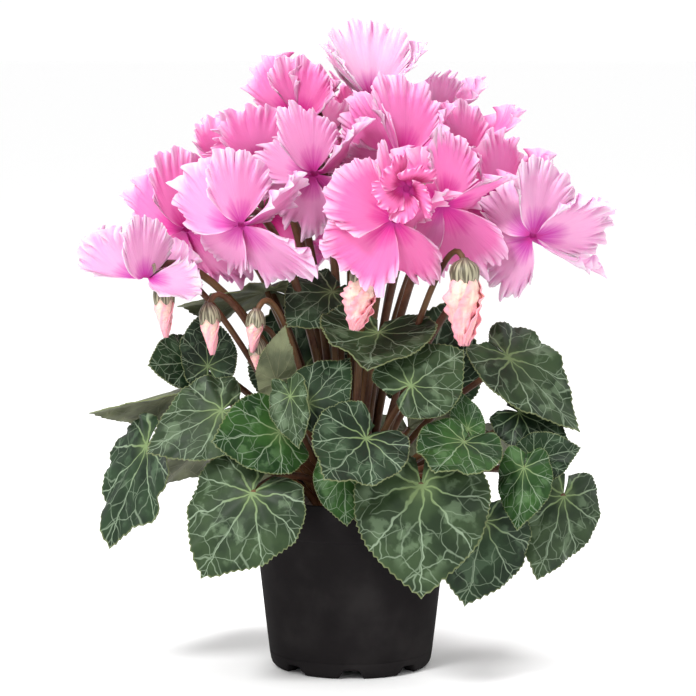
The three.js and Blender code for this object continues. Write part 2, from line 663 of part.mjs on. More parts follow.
// A pot with a rim band, a rounded foot ring, a raised channel round a central pad, notches and drain holes.
function potSolid() {
  const rim = POT_HEIGHT - RIM_HEIGHT;
  const floor = FLOOR_RISE + POT_WALL;
  const foot = potRadius(FOOT_HEIGHT);
  const outside = [
    [CENTRE_PAD_RADIUS, 0],
    [CENTRE_PAD_RADIUS + 3, FLOOR_RISE],
    [FOOT_INNER_RADIUS - 2, FLOOR_RISE],
    [FOOT_INNER_RADIUS, 0],
    [foot - 3.5, 0],
    [foot - 1, 3.5],
    [foot, FOOT_HEIGHT],
    [potRadius(rim) - RIM_STEP, rim],
    [potRadius(rim), rim + 1],
    [POT_TOP_RADIUS, POT_HEIGHT],
  ];
  const inside = [
    [POT_TOP_RADIUS - POT_WALL, POT_HEIGHT],
    [potRadius(rim) - RIM_STEP - POT_WALL, rim],
    [foot - POT_WALL, FOOT_HEIGHT],
    [foot - POT_WALL - 3, floor],
  ];
  let pot = solidOf(lathe([[0, 0], ...outside, ...inside, [0, floor]], POT_SIDES));
  for (let i = 0; i < FOOT_NOTCHES; i++) {
    const turn = (2 * Math.PI * i) / FOOT_NOTCHES;
    pot = pot.subtract(solidOf(footNotch().rotateZ(turn)));
    if (i % 2) {
      const drain = lathe(drainProfile(), DRAIN_HOLE_SIDES);
      drain.translate((CENTRE_PAD_RADIUS + FOOT_INNER_RADIUS) / 2, 0, FLOOR_RISE);
      pot = pot.subtract(solidOf(drain.rotateZ(turn)));
    }
  }
  return pot;
}

// The corm's outline from its underside to its crown, as shares of its radius and heights above its middle.
const CORM_PROFILE = [[0, -24], [0.7, -21], [0.95, -13], [1, -5], [0.86, 1], [0.7, 3], [0, 3]];

function cormProfile(extra) {
  return CORM_PROFILE.map(([share, z]) => [share ? share * CORM_RADIUS + extra : 0, CORM_MIDDLE + z - extra]);
}

// The soil fills the pot to a little under its rim and has a hollow in which the corm sits.
function soilSolid() {
  const rim = POT_HEIGHT - RIM_HEIGHT;
  const floor = FLOOR_RISE + POT_WALL + SEAT_GAP;
  const side = POT_WALL + SEAT_GAP;
  const foot = potRadius(FOOT_HEIGHT) - side;
  const body = lathe(
    [
      [0, floor],
      [foot - 3, floor],
      [foot, FOOT_HEIGHT],
      [potRadius(rim) - RIM_STEP - side, rim],
      [potRadius(SOIL_LEVEL) - RIM_STEP - side, SOIL_LEVEL],
      [0, SOIL_LEVEL],
    ],
    POT_SIDES,
  );
  const under = cormProfile(SEAT_GAP).slice(0, 4);
  const hollow = lathe([...under, [CORM_RADIUS + SEAT_GAP, POT_HEIGHT], [0, POT_HEIGHT]], CORM_SIDES);
  return solidOf(body).subtract(solidOf(hollow));
}

// The pot as the leaves meet it: its rim and foot circles.
function potPiece() {
  const circle = (r, z) =>
    Array.from({ length: 16 }, (_, i) => {
      const turn = (i * Math.PI) / 8;
      return new THREE.Vector3(r * Math.cos(turn), r * Math.sin(turn), z);
    });
  return { firm: true, points: [...circle(POT_TOP_RADIUS + 2, POT_HEIGHT + 1), ...circle(potRadius(0), 0)] };
}

// Assembly
const leafSheets = LEAVES.map((leaf, i) => leafSheet(leaf, i));
const bloomSheets = BLOOMS.map((bloom, i) => bloomSheet(bloom, i));
const budPieces = BUDS.map((bud) => ({
  firm: true,
  points: [vector(bud.top), ...budRing(bud, 0, 1), ...budRings(bud).flat()],
}));
bendClear([potPiece(), ...budPieces, ...bloomSheets, ...leafSheets]);

const stalks = [
  ...BLOOMS.map((bloom, i) => bloomStalk(bloom, bloomSheets[i])),
  ...leafSheets.map(leafStalk),
  ...BUDS.map(budStalk),
];

// The corm, its stalks and the buds' cups grew as one body.
function cormSolid() {
  let solid = solidOf(lathe(cormProfile(0), CORM_SIDES));
  for (const stalk of stalks) solid = solid.add(stalkSolid(stalk, 0));
  for (const bud of BUDS) solid = solid.add(budCup(bud));
  return largestBody(solid);
}

const corm = cormSolid();

// A piece with room cut in it for every stalk that it meets, the one that carries it included.
function clearOfStalks(solid) {
  let cut = solid;
  for (const room of [...stalks.map((stalk) => stalkSolid(stalk, SEAT_GAP)), corm]) {
    if (cut.intersect(room).volume() > LEAST_OVERLAP) cut = cut.subtract(room);
  }
  return largestBody(cut);
}

// A blade grows together where its parts cross.
function bladeSolid({ points, faces, parts = [faces] }) {
  const offsets = faceOffsets(points, faces, BLADE_THICKNESS);
  const solids = parts.map((part) => solidOf(thicken(points, part, offsets)));
  return clearOfStalks(solids.reduce((whole, solid) => whole.add(solid)));
}

const plant = new THREE.Group();

function addNode(name, solid, colour) {
  const mesh = new THREE.Mesh(geometryOf(solid), colour);
  mesh.name = name;
  plant.add(mesh);
}

const label = (word, i) => `${word}_${String(i + 1).padStart(2, '0')}`;
addNode('pot', potSolid(), COLOURS.pot);
addNode('soil', soilSolid(), COLOURS.soil);
addNode('corm_and_stalks', corm, COLOURS.stalk);
leafSheets.forEach((sheet, i) => addNode(label('leaf', i), bladeSolid(sheet), COLOURS.leaf));
bloomSheets.forEach((sheet, i) => addNode(label('bloom', i), bladeSolid(sheet), COLOURS.petal));
BUDS.forEach((bud, i) => addNode(label('bud', i), clearOfStalks(budSolid(bud)), COLOURS.bud));

export default plant;
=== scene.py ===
# A potted cyclamen, dressed: ruffled petals, veined leaves, buds, round stalks, soil and a moulded pot.
# Sizes are millimetres, as in the part's own source, and become metres when a mesh is made. The waves, teeth
# and relief of a leaf are shares of its length. The camera, the floor and the lamps are in metres.
import math

import bmesh
import bpy
import numpy as np
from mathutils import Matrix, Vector


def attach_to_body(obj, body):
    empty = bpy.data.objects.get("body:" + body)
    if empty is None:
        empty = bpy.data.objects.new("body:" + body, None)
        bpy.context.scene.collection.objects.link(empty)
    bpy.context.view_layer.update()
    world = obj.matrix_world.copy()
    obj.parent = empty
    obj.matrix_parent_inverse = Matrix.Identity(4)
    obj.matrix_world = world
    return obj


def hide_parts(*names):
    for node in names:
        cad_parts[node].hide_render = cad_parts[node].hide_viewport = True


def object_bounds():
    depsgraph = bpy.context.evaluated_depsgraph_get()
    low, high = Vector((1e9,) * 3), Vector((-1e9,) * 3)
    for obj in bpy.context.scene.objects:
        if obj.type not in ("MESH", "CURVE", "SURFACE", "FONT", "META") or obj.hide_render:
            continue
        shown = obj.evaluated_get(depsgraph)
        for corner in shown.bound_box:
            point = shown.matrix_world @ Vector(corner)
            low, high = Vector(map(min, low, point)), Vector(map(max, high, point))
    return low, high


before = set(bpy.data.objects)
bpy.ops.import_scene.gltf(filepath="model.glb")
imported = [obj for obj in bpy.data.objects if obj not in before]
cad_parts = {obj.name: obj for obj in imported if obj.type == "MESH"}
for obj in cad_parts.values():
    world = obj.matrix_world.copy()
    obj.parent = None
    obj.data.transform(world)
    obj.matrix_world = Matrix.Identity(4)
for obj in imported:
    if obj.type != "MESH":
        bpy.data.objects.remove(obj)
CAD_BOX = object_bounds()
MM = 0.001

# Pot, soil and corm, as in the part
POT_TOP_RADIUS = 65
POT_TAPER = 0.125
POT_HEIGHT = 112
POT_WALL = 1.4
RIM_HEIGHT = 24
RIM_STEP = 1.2
FOOT_HEIGHT = 8
FOOT_INNER_RADIUS = 42
FOOT_NOTCHES = 8
NOTCH_TOP = 10
NOTCH_FOOT = 16
FLOOR_RISE = 5
CENTRE_PAD_RADIUS = 14
SOIL_LEVEL = 99
CORM_RADIUS = 27
CORM_MIDDLE = 101
SEAT_GAP = 0.4

# Stalks, on the same curves as in the part, whose five-sided ones are a little thicker. A taper and the
# root's swell are shares of the radius.
STALK_ROOT = 100
CROWN_SPREAD = 0.07
BLOOM_STALK = {"radius": 2.5, "ring": 3, "lean": 0.12, "lift": 0.55, "taper": 0.9}
LEAF_STALK = {"radius": 2.2, "ring": 12, "lean": 0.1, "lift": 0.6, "taper": 0.85}
BUD_STALK = {"radius": 1.9, "ring": 7, "lean": 0.32, "lift": 0.6, "taper": 0.95}
ROOT_SWELL = 1.15
BLOOM_SEAT = 0.9
NECK_SHARE = 0.28
NECK_INWARD = 0.18
NECK_DROP = 0.05
LEAF_LEAST_LIFT = 34
ELBOW_SHARE = 0.28
ELBOW_CLEARANCE = 22
HOOK_HEIGHT = 34
HOOK_INWARD = 12

# Leaf blades, as in the part
LEAF_SPANS = 8
LEAF_MIDDLE_ROW = 0.55
LEAF_ROUND = 0.58
LEAF_LONG = 0.1
LEAF_POINT = 0.32
LEAF_POINT_TURN = 0.45
LEAF_NOTCH_START = math.radians(130)
LEAF_NOTCH = math.radians(171)
LEAF_NOTCH_DEPTH = 0.45
LEAF_TOOTH = 0.05
LEAF_LONG_WAVE = 0.05
LEAF_LONG_WAVES = 3
LEAF_SHORT_WAVE = 0.03
LEAF_SHORT_WAVES = 5
LEAF_BOW = 0.08

# Blooms, as in the part
PETALS = 5
PETAL_ROWS = [(0, 2), (0.5, 4), (1, 7)]
PETAL_LENGTH = 46
PETAL_HALF_ANGLE = math.radians(38)
PETAL_CLAW = 4
PETAL_CORNER = 0.2
PETAL_CURL = math.radians(36)
PETAL_TWIST = 16
PETAL_TWIST_SHARE = 0.5
PETAL_RUFFLE = 4
RUFFLES = 3
PETAL_CUP = 0.006
TURN_DRAW = 4
LENGTH_DRAW = 0.1
TWIST_DRAW = 3
RUFFLE_DRAW = 0.3
THROAT_RADIUS = 6
THROAT_DEPTH = 3
THROAT_SHARE = math.radians(30)

# Buds, as in the part
BUD_RINGS = [(0, 0.5), (0.14, 0.92), (0.38, 1), (0.62, 0.78), (0.84, 0.5), (1, 0.22)]
BUD_AROUND = 10
BUD_TWIST = 1.6
BUD_RIDGE = 0.08
FRILL_RIDGE = 0.28
FRILL_FLARE = 0.5
CUP_DEPTH = 5

# How crowded pieces bend clear of each other, as in the part
PIECE_GAP = 1.8
CROWDED_GAP = 1.1
BEND_SOFTNESS = 6
BEND_ROUNDS = 6
WALL_DIRECTIONS = 60
GOLDEN_ANGLE = 2.399963
POT_CORNERS = 16

# The finer leaf: its grid, its shallow lobes and small teeth, the ribs and the relief between and beyond them
BLADE_THICKNESS = 0.7
LEAF_COLUMNS = 144
LEAF_ROWS = 10
LEAF_ROW_EASE = 0.8
LEAF_LOBE = 0.015
LEAF_SERRATION = 0.026
SERRATION_SIZES = (0.5, 1.3)
SERRATION_REACH = (0.93, 1)
RIB_TURN = math.radians(38)
LEAF_PILLOW = 0.02
LEAF_FRILL = 0.028
LEAF_FRILLS = 11
LEAF_CRIMP = 0.012
LEAF_CRIMPS = 23

# The finer petal: its grid, its spread and rounded corners, its share of the solid's waves, and its throat
PETAL_THICKNESS = 0.6
PETAL_COLUMNS = 138
BACK_COLUMNS = 84
PETAL_LINES = 11
PETAL_LINE_EASE = 1.3
PETAL_SPREAD = 1.52
PETAL_WAVE = 0.4
CORNER_ROUND = 0.14
CORNER_REACH = (0.55, 1)
THROAT_GRID = (30, 5)
THROAT_MOUTH = 2.6
THROAT_BLEND = 0.2
THROAT_OVERLAP = 1.15
STREAK_STEP = 3.7

# How high a petal's crease, folds, crimps and frill rise, and from where to where along it they grow
CREASE = 1.8
CREASES = 0.8
FOLD = 1.9
FOLD_REACH = (0.45, 1.05)
FOLD_SHIFT = 0.03
CRIMP = 2.1
CRIMP_REACH = (0.58, 0.96)
FRILL = 1.4
FRILL_REACH = (0.74, 0.98)

# How the margin curls: the angle in radians, where it starts, how far it leans back and how much it shortens
CURL = 0.8
CURL_START = 0.76
CURL_BACK = 0.3
CURL_PULL = 0.3

# How far the fringe's teeth and scallops cut into a petal, in petal lengths, and from where on
FRINGE = 0.03
FRINGE_REACH = (0.86, 1)
SCALLOP = 0.045
SCALLOP_REACH = (0.5, 1)

# Uneven waves across a petal: how many to half its width, how far their spacing drifts, and how often
FOLDS = (2.3, 1.4, 3.2)
CURLS = (3.6, 1.7, 2.6)
CRIMPS = (6.2, 1.9, 4.7)
FRILLS = (12.5, 2, 6)
TEETH = (13, 2.2, 3)
SCALLOPS = (1.3, 0.9, 3)

# How much of the rise, the crimps and the frill is painted into a petal's colour as shade and highlight
PLEAT_SHADE_OF_RISE = 0.08
PLEAT_SHADE_OF_CRIMP = 0.6
PLEAT_SHADE_OF_FRILL = 0.45

# The small sepals behind a bloom
SEPAL_GRID = (4, 6)
SEPAL_LENGTH = 10
SEPAL_HALF_WIDTH = 2.6
SEPAL_START = 2.2
SEPAL_BEHIND = 0.6
SEPAL_CUP = 0.12
SEPAL_LEAN = 12
LEAST_SEPAL_LEAN = 5

# The finer bud: five petals that are wound round each other
BUD_COLUMNS = 26
CLOSED_BUD_ROWS = 24
OPEN_BUD_ROWS = 44
OPEN_FRILL = 0.3
BUD_PETAL_HALF_TURN = 0.95
BUD_WIND = 1.5
BUD_UNDER_CUP = 2
BUD_TEETH = 0.05
BUD_STREAK_STEP = 0.7
OPEN_SLIMNESS = 0.35
CLOSED_SLIMNESS = 0.18

# A rolled petal's loose margin, crimps and pleats: how far they stand off a closed bud, and what opening adds
LOOSE = (0.05, 0.45)
BUD_CRIMP = (0.02, 0.22)
BUD_CRIMPS = 44
BUD_PLEAT = (0.01, 0.1)
BUD_PLEATS = 31

# The cup of sepals over a bud
CUP_GRID = (60, 12)
CUP_START = -2.5
CUP_GIRTH = [(CUP_START, 0), (-1.5, 0.05), (0.5, 0.6), (3, 0.95), (6, 1.06), (9, 1), (13, 0.85), (16, 0.7)]
CUP_NECK = 2
CUP_LIP = 1.2

# The finer pot, soil and corm: the notches are a little higher than the solid's, and a groove runs above them
NOTCH_HEIGHT = 6
GROOVE_HEIGHT = 10
GROOVE_DEPTH = 0.5
GROOVE_HALF_WIDTH = 0.4
WALL_HOLLOW = [(30, 0.1), (60, 0.5)]
POT_STEPS = 240
SOIL_STEPS = 120
SOIL_RINGS = 30
CRUMBS = (-1.6, 1.4)
CORM_STEPS = 64
CORM_SIDE = [(0, -24), (0.7, -21), (0.95, -13), (1, -5), (0.96, -1), (0.86, 1), (0.7, 3), (0.4, 3.6), (0, 3)]
CORM_KNOBS = 0.03

# How far inside the part's box the points of leaves, blooms and buds are kept
BOX_MARGIN = 0.5

# Seeds of the random draws
RELIEF_SEED = 1000
FRINGE_SEED = 2000
BUD_SEED = 3000
SOIL_SEED = 5
CORM_SEED = 6


def leaf(attach, tip, face, wide, fold, droop, tone="grey"):
    """Where a blade meets its stalk, its tip, the way it faces, its width, and how it folds up and droops."""
    place = {"attach": attach, "tip": tip, "face": face}
    return {**place, "wide": wide, "fold": fold, "droop": droop, "tone": tone}


LEAVES = [
    leaf((-59, -95, 127), (-92, -106, 76), (-0.3, -1, 0.35), 1.02, 0.05, 0.1),
    leaf((42, -97, 131), (42, -114, 64), (0, -1, 0.35), 1.03, -0.08, 0.1),
    leaf((9, -98, 160), (-17, -126, 137), (0.15, -1, 0.85), 1.15, 0.15, 0.05, "deep"),
    leaf((68, -92, 157), (49, -124, 141), (0.05, -1, 1), 1.1, 0.05, 0, "bright"),
    leaf((35, -80, 189), (69, -68, 212), (0, -1, 0.5), 1.12, 0.05, 0.1),
    leaf((-79, -72, 172), (-125, -84, 148), (-0.2, -1, 0.6), 0.88, 0, 0.08),
    leaf((-43, -82, 161), (-84, -104, 158), (-0.1, -1, 0.3), 1, 0.12, 0.05, "bright"),
    leaf((-127, -38, 146), (-153, -46, 83), (-1, -0.75, 0.2), 0.85, 0.1, 0.05, "deep"),
    leaf((-107, -8, 177), (-164, -26, 162), (-0.3, 0.4, 1), 0.8, -0.15, 0.1, "under"),
    leaf((-100, -24, 196), (-126, -42, 196), (-0.3, -1, 0.5), 1.12, 0.1, 0, "deep"),
    leaf((-89, -34, 195), (-94, -26, 230), (-0.2, -1, 0.3), 0.9, 0.1, 0, "deep"),
    leaf((-53, 2, 238), (-109, -26, 232), (0, 0.55, 1), 0.75, 0.1, 0.1, "deep"),
    leaf((-12, -28, 242), (-39, -54, 225), (-0.1, -1, 0.8), 1, 0.1, 0.1, "deep"),
    leaf((17, -50, 214), (10, -88, 194), (0, -0.8, 0.9), 1.4, 0.35, 0),
    leaf((-26, -80, 179), (-2, -68, 208), (-0.2, -1, 0.4), 0.95, 0.1, 0.1, "deep"),
    leaf((-45, -70, 189), (-40, -80, 224), (0.2, 0.9, 0.3), 0.62, -0.15, 0, "under"),
    leaf((-37, -86, 184), (-31, -100, 153), (-0.5, -1, 0.4), 0.66, 0.2, 0),
    leaf((97, -40, 201), (144, -54, 161), (0.35, -0.8, 0.9), 0.85, 0.15, 0.12),
    leaf((105, -44, 168), (139, -58, 154), (0.2, -1, 0.6), 1, 0.1, 0.05, "deep"),
    leaf((112, -64, 142), (140, -72, 150), (0.2, -1, 0.2), 0.9, 0.1, 0.05, "deep"),
    leaf((105, -86, 139), (101, -94, 102), (-0.3, -1, 0.2), 0.75, -0.2, 0.05, "bright"),
    leaf((132, -44, 115), (117, -56, 64), (0.3, -1, 0.2), 0.9, -0.2, 0.1),
    leaf((81, -76, 104), (71, -84, 53), (0.3, -1, 0.3), 1.05, 0.05, 0.1, "deep"),
    leaf((-4, -84, 137), (-1, -95, 105), (0, -1, 0.3), 0.95, 0.1, 0.05, "bright"),
    leaf((71, -78, 161), (66, -72, 186), (0.1, -1, 0.5), 0.7, 0.3, 0, "bright"),
    leaf((-88, 45, 140), (-130, 68, 104), (-0.8, 0.6, 0.5), 1, 0.05, 0.1),
    leaf((-30, 42, 182), (-42, 40, 236), (-0.1, -1, 0.2), 1.1, 0.1, 0.05, "deep"),
    leaf((-30, 90, 140), (-44, 118, 82), (-0.2, 1, 0.4), 1.1, 0.05, 0.1),
    leaf((38, 92, 138), (52, 122, 82), (0.2, 1, 0.4), 1.1, 0.05, 0.1, "bright"),
    leaf((50, 38, 178), (63, 38, 229), (0.1, -1, 0.2), 1.1, 0.1, 0.05, "deep"),
    leaf((96, 36, 140), (140, 50, 100), (0.9, 0.5, 0.5), 1, 0.05, 0.1, "deep"),
]


BLOOM_LOOKS = {
    "ruffle": 0.85,
    "spread": PETAL_SPREAD,
    "wave": PETAL_WAVE,
    "columns": PETAL_COLUMNS,
    "tint": 1.0,
}
BACK_LOOKS = {"ruffle": 1.0, "columns": BACK_COLUMNS}


def bloom(hub, mouth, spin, reflex, size, twist=(0, 0, 0, 0, 0), tone="pink", **looks):
    """A bloom's middle, the way it opens, its first petal's turn, and how its petals bend back and twist.

    Turns are in degrees. Looks say how ruffled, wide and wavy its petals are, how fine their grid is, and
    how far their colour runs.
    """
    place = {"hub": hub, "mouth": mouth, "spin": spin}
    shape = {"reflex": reflex, "size": size, "twist": twist, "tone": tone}
    return {**place, **shape, **BLOOM_LOOKS, **looks}


BLOOMS = [
    bloom(
        (-125, -56, 252), (-0.15, -0.5, -1), 8, (-10, 66, 34, 62, 76), 0.98, (78, 6, 4, 0, -2), "pale",
        ruffle=0.8,
    ),
    bloom((-103, -4, 281), (-0.15, -0.7, -0.75), 85, (50, 52, 25, -5, 54), 1.1, ruffle=1.0),
    bloom((-66, -84, 289), (-0.05, -0.75, -0.7), 92, (48, 56, 24, -8, 44), 1.12, tone="light", ruffle=0.9),
    bloom((-76, 22, 311), (-0.3, -0.5, -0.9), 88, (62, 64, 56, 56, 66), 1.02, (-24, -20, 0, 0, 0)),
    bloom((-54, -10, 315), (-0.1, -0.55, -0.85), 96, (58, 60, 46, 50, 62), 1.1, (-24, -14, 0, 0, 0)),
    bloom((-22, -44, 318), (-0.05, -0.75, -0.7), 100, (54, 60, 10, 2, 52), 1.08, tone="light"),
    bloom((26, -92, 292), (0.35, -1, -0.25), 148, (5, 0, 14, 48, 50), 1.08, tone="vivid", ruffle=0.9),
    bloom(
        (31, -96, 309), (0, -1, -0.1), 120, (-45, -50, -45, -50, -45), 0.55, (18, 18, 18, 18, 18), "rose",
        ruffle=0.8, spread=1.4, wave=0.1, tint=0.6,
    ),
    bloom((54, -78, 294), (0.1, -0.8, -0.7), 84, (40, 46, 14, 2, 36), 1.15, (0, 4, 0, 0, 0), ruffle=1.0),
    bloom(
        (12, -18, 359), (0.05, -0.55, -0.85), 94, (62, 58, 48, 48, 60), 1.12, (-36, -66, -10, 0, 0), "blush",
    ),
    bloom((46, 8, 338), (0.25, -0.5, -0.9), 80, (60, 60, 50, 50, 60), 1.08, (-24, -24, 0, 0, 0), "light"),
    bloom((-31, 8, 347), (-0.15, -0.5, -0.9), 84, (62, 60, 48, 50, 62), 1.1, (-24, -24, 0, 0, 0)),
    bloom((30, -46, 326), (0.1, -0.7, -0.75), 88, (58, 56, 22, 20, 56), 1.12, (-30, -50, 0, 0, 0)),
    bloom((88, -24, 299), (0.25, -0.6, -0.8), 84, (56, 58, 40, 40, 58), 1.08, (-20, -24, 0, 0, 0)),
    bloom((68, -6, 319), (0.2, -0.6, -0.8), 96, (56, 58, 38, 40, 58), 1.08, (-20, -24, 0, 0, 0)),
    bloom(
        (111, -60, 280), (-0.3, -0.85, -0.55), 74, (42, 60, 4, 50, 28), 1.15, (0, 0, 0, 0, -16), "pale",
        ruffle=1.0, spread=1.5,
    ),
    bloom((74, 54, 278), (0.4, 0.8, -0.8), 90, (40, 35, 20, 10, 35), 1.0, **BACK_LOOKS),
    bloom((10, 78, 282), (0, 0.9, -0.7), 90, (40, 35, 15, 10, 35), 1.0, tone="light", **BACK_LOOKS),
    bloom((-56, 66, 286), (-0.4, 0.8, -0.7), 90, (40, 35, 15, 10, 35), 1.0, **BACK_LOOKS),
    bloom((2, 54, 334), (0.05, 0.6, -0.8), 90, (60, 56, 45, 45, 56), 1.05, tone="vivid"),
]


def bud(top, length, radius, frill, tilt):
    """Where a bud hangs from its stalk, its length and radius, how far it is open and how its tip swings."""
    return {"top": top, "length": length, "radius": radius, "frill": frill, "tilt": tilt}


BUDS = [
    bud((-115, -60, 248), 27, 5.6, 0.1, (0.05, 0)),
    bud((-87, -66, 236), 25, 5.4, 0.05, (0.08, 0)),
    bud((-58, -62, 232), 20, 4.8, 0, (-0.1, 0)),
    bud((8, -88, 262), 34, 8.5, 0.5, (-0.15, 0)),
    bud((68, -88, 265), 46, 9.5, 0.5, (0, 0)),
    bud((-58, -56, 214), 19, 4.6, 0, (0.1, 0.1)),
]


# Camera, floor and light
CAMERA_DISTANCE = 1.8
CAMERA_LIFT = math.radians(6.5)
CAMERA_AIM = Vector((-0.0019, 0, 0.2029))
CAMERA_LENS = 146.8
SENSOR_WIDTH = 36
LAMP_AIM = (0, 0, 0.22)
LAMPS = {
    "key": {"place": (-0.8, -1.2, 1.5), "size": 0.5, "power": 28},
    "top": {"place": (0.4, 0.3, 1.8), "size": 0.8, "power": 14},
}
WORLD_STRENGTH = 1.02
FLOOR_HALF_WIDTH = 30


def make_camera():
    camera = bpy.data.objects.new("camera", bpy.data.cameras.new("camera"))
    camera.data.lens = CAMERA_LENS
    camera.data.sensor_width = SENSOR_WIDTH
    back = Vector((0, -math.cos(CAMERA_LIFT), math.sin(CAMERA_LIFT)))
    camera.location = CAMERA_AIM + CAMERA_DISTANCE * back
    camera.rotation_euler = (-back).to_track_quat("-Z", "Y").to_euler()
    bpy.context.scene.collection.objects.link(camera)
    bpy.context.scene.camera = camera


def add_lamp(name, place, size, power):
    lamp = bpy.data.objects.new(name, bpy.data.lights.new(name, "AREA"))
    lamp.data.shape = "DISK"
    lamp.data.size = size
    lamp.data.energy = power
    lamp.location = place
    lamp.rotation_euler = (Vector(LAMP_AIM) - Vector(place)).to_track_quat("-Z", "Y").to_euler()
    bpy.context.scene.collection.objects.link(lamp)


def make_studio():
    world = bpy.data.worlds.new("studio")
    world.use_nodes = True
    sky = world.node_tree.nodes["Background"].inputs
    sky["Color"].default_value = (1, 1, 1, 1)
    sky["Strength"].default_value = WORLD_STRENGTH
    bpy.context.scene.world = world
    bpy.context.scene.view_settings.view_transform = "Standard"
    for name, lamp in LAMPS.items():
        add_lamp(name, **lamp)

    shape = bmesh.new()
    bmesh.ops.create_grid(shape, x_segments=1, y_segments=1, size=FLOOR_HALF_WIDTH)
    floor = finish_mesh("floor", shape, [plain_material("floor", FLOOR_COLOUR, 0.9)])


# Materials
class Nodes:
    """A material with short calls that add and link its nodes."""

    def __init__(self, name):
        self.material = bpy.data.materials.new(name)
        self.material.use_nodes = True
        self.tree = self.material.node_tree
        self.surface = self.tree.nodes["Principled BSDF"]

    def put(self, socket, value):
        if isinstance(value, bpy.types.NodeSocket):
            self.tree.links.new(value, socket)
        else:
            socket.default_value = value

    def add(self, kind, inputs, **settings):
        node = self.tree.nodes.new(kind)
        for name, value in settings.items():
            setattr(node, name, value)
        for key, value in inputs.items():
            self.put(node.inputs[key], value)
        return node

    def math(self, operation, *values):
        return self.add("ShaderNodeMath", dict(enumerate(values)), operation=operation).outputs[0]

    def vector(self, operation, a, b):
        return self.add("ShaderNodeVectorMath", {0: a, 1: b}, operation=operation).outputs[0]

    def times(self, a, b):
        return self.math("MULTIPLY", a, b)

    def smooth(self, value, low, high, start=0.0, end=1.0):
        inputs = {"Value": value, "From Min": low, "From Max": high, "To Min": start, "To Max": end}
        return self.add("ShaderNodeMapRange", inputs, interpolation_type="SMOOTHSTEP").outputs[0]

    def noise(self, vector, scale, detail=3.0):
        return self.add("ShaderNodeTexNoise", {"Vector": vector, "Scale": scale, "Detail": detail}).outputs[0]

    def streaks(self, place, across, along, detail=3.0):
        """Noise that is drawn out along a petal, by how often it changes across and along."""
        x, y, draw = place
        return self.noise(self.combine(self.times(x, across), self.times(y, along), draw), 1.0, detail)

    def combine(self, x, y, z):
        return self.add("ShaderNodeCombineXYZ", {0: x, 1: y, 2: z}).outputs[0]

    def split(self, vector):
        return self.add("ShaderNodeSeparateXYZ", {0: vector}).outputs

    def mix(self, share, a, b):
        colour = [c if isinstance(c, bpy.types.NodeSocket) else (*c, 1) for c in (a, b)]
        inputs = {0: share, 6: colour[0], 7: colour[1]}
        return self.add("ShaderNodeMix", inputs, data_type="RGBA").outputs[2]

    def ramp(self, share, stops):
        node = self.add("ShaderNodeValToRGB", {0: share})
        elements = node.color_ramp.elements
        while len(elements) < len(stops):
            elements.new(0.5)
        for element, (place, colour) in zip(elements, stops):
            element.position = place
            element.color = (*colour, 1)
        return node.outputs[0]

    def bump(self, height, strength, distance):
        inputs = {"Height": height, "Strength": strength, "Distance": distance}
        self.set("Normal", self.add("ShaderNodeBump", inputs).outputs[0])

    def place(self):
        return self.add("ShaderNodeAttribute", {}, attribute_name="place").outputs["Vector"]

    def object(self):
        return self.add("ShaderNodeTexCoord", {}).outputs["Object"]

    def set(self, name, value):
        self.put(self.surface.inputs[name], value)

    def finish(self, colour, roughness):
        self.set("Base Color", colour)
        self.set("Roughness", roughness)
        return self.material


def plain_material(name, colour, roughness):
    return Nodes(name).finish((*colour, 1), roughness)


LEAF_TONES = {
    "grey": {"dark": (0.011, 0.025, 0.008), "light": (0.031, 0.057, 0.021), "silver": (0.11, 0.165, 0.09)},
    "deep": {"dark": (0.005, 0.015, 0.005), "light": (0.016, 0.038, 0.014), "silver": (0.06, 0.105, 0.055)},
    "bright": {"dark": (0.006, 0.028, 0.004), "light": (0.024, 0.075, 0.012), "silver": (0.075, 0.15, 0.055)},
    "under": {"dark": (0.075, 0.09, 0.035), "light": (0.13, 0.15, 0.065), "silver": (0.15, 0.17, 0.08)},
}
VEIN_COLOUR = (0.26, 0.34, 0.23)
MIDRIB_COLOUR = (0.19, 0.27, 0.11)
MARGIN_COLOUR = (0.2, 0.23, 0.1)
UNDERSIDE = {"dark": (0.05, 0.06, 0.024), "light": (0.13, 0.145, 0.07), "vein": (0.2, 0.2, 0.11)}


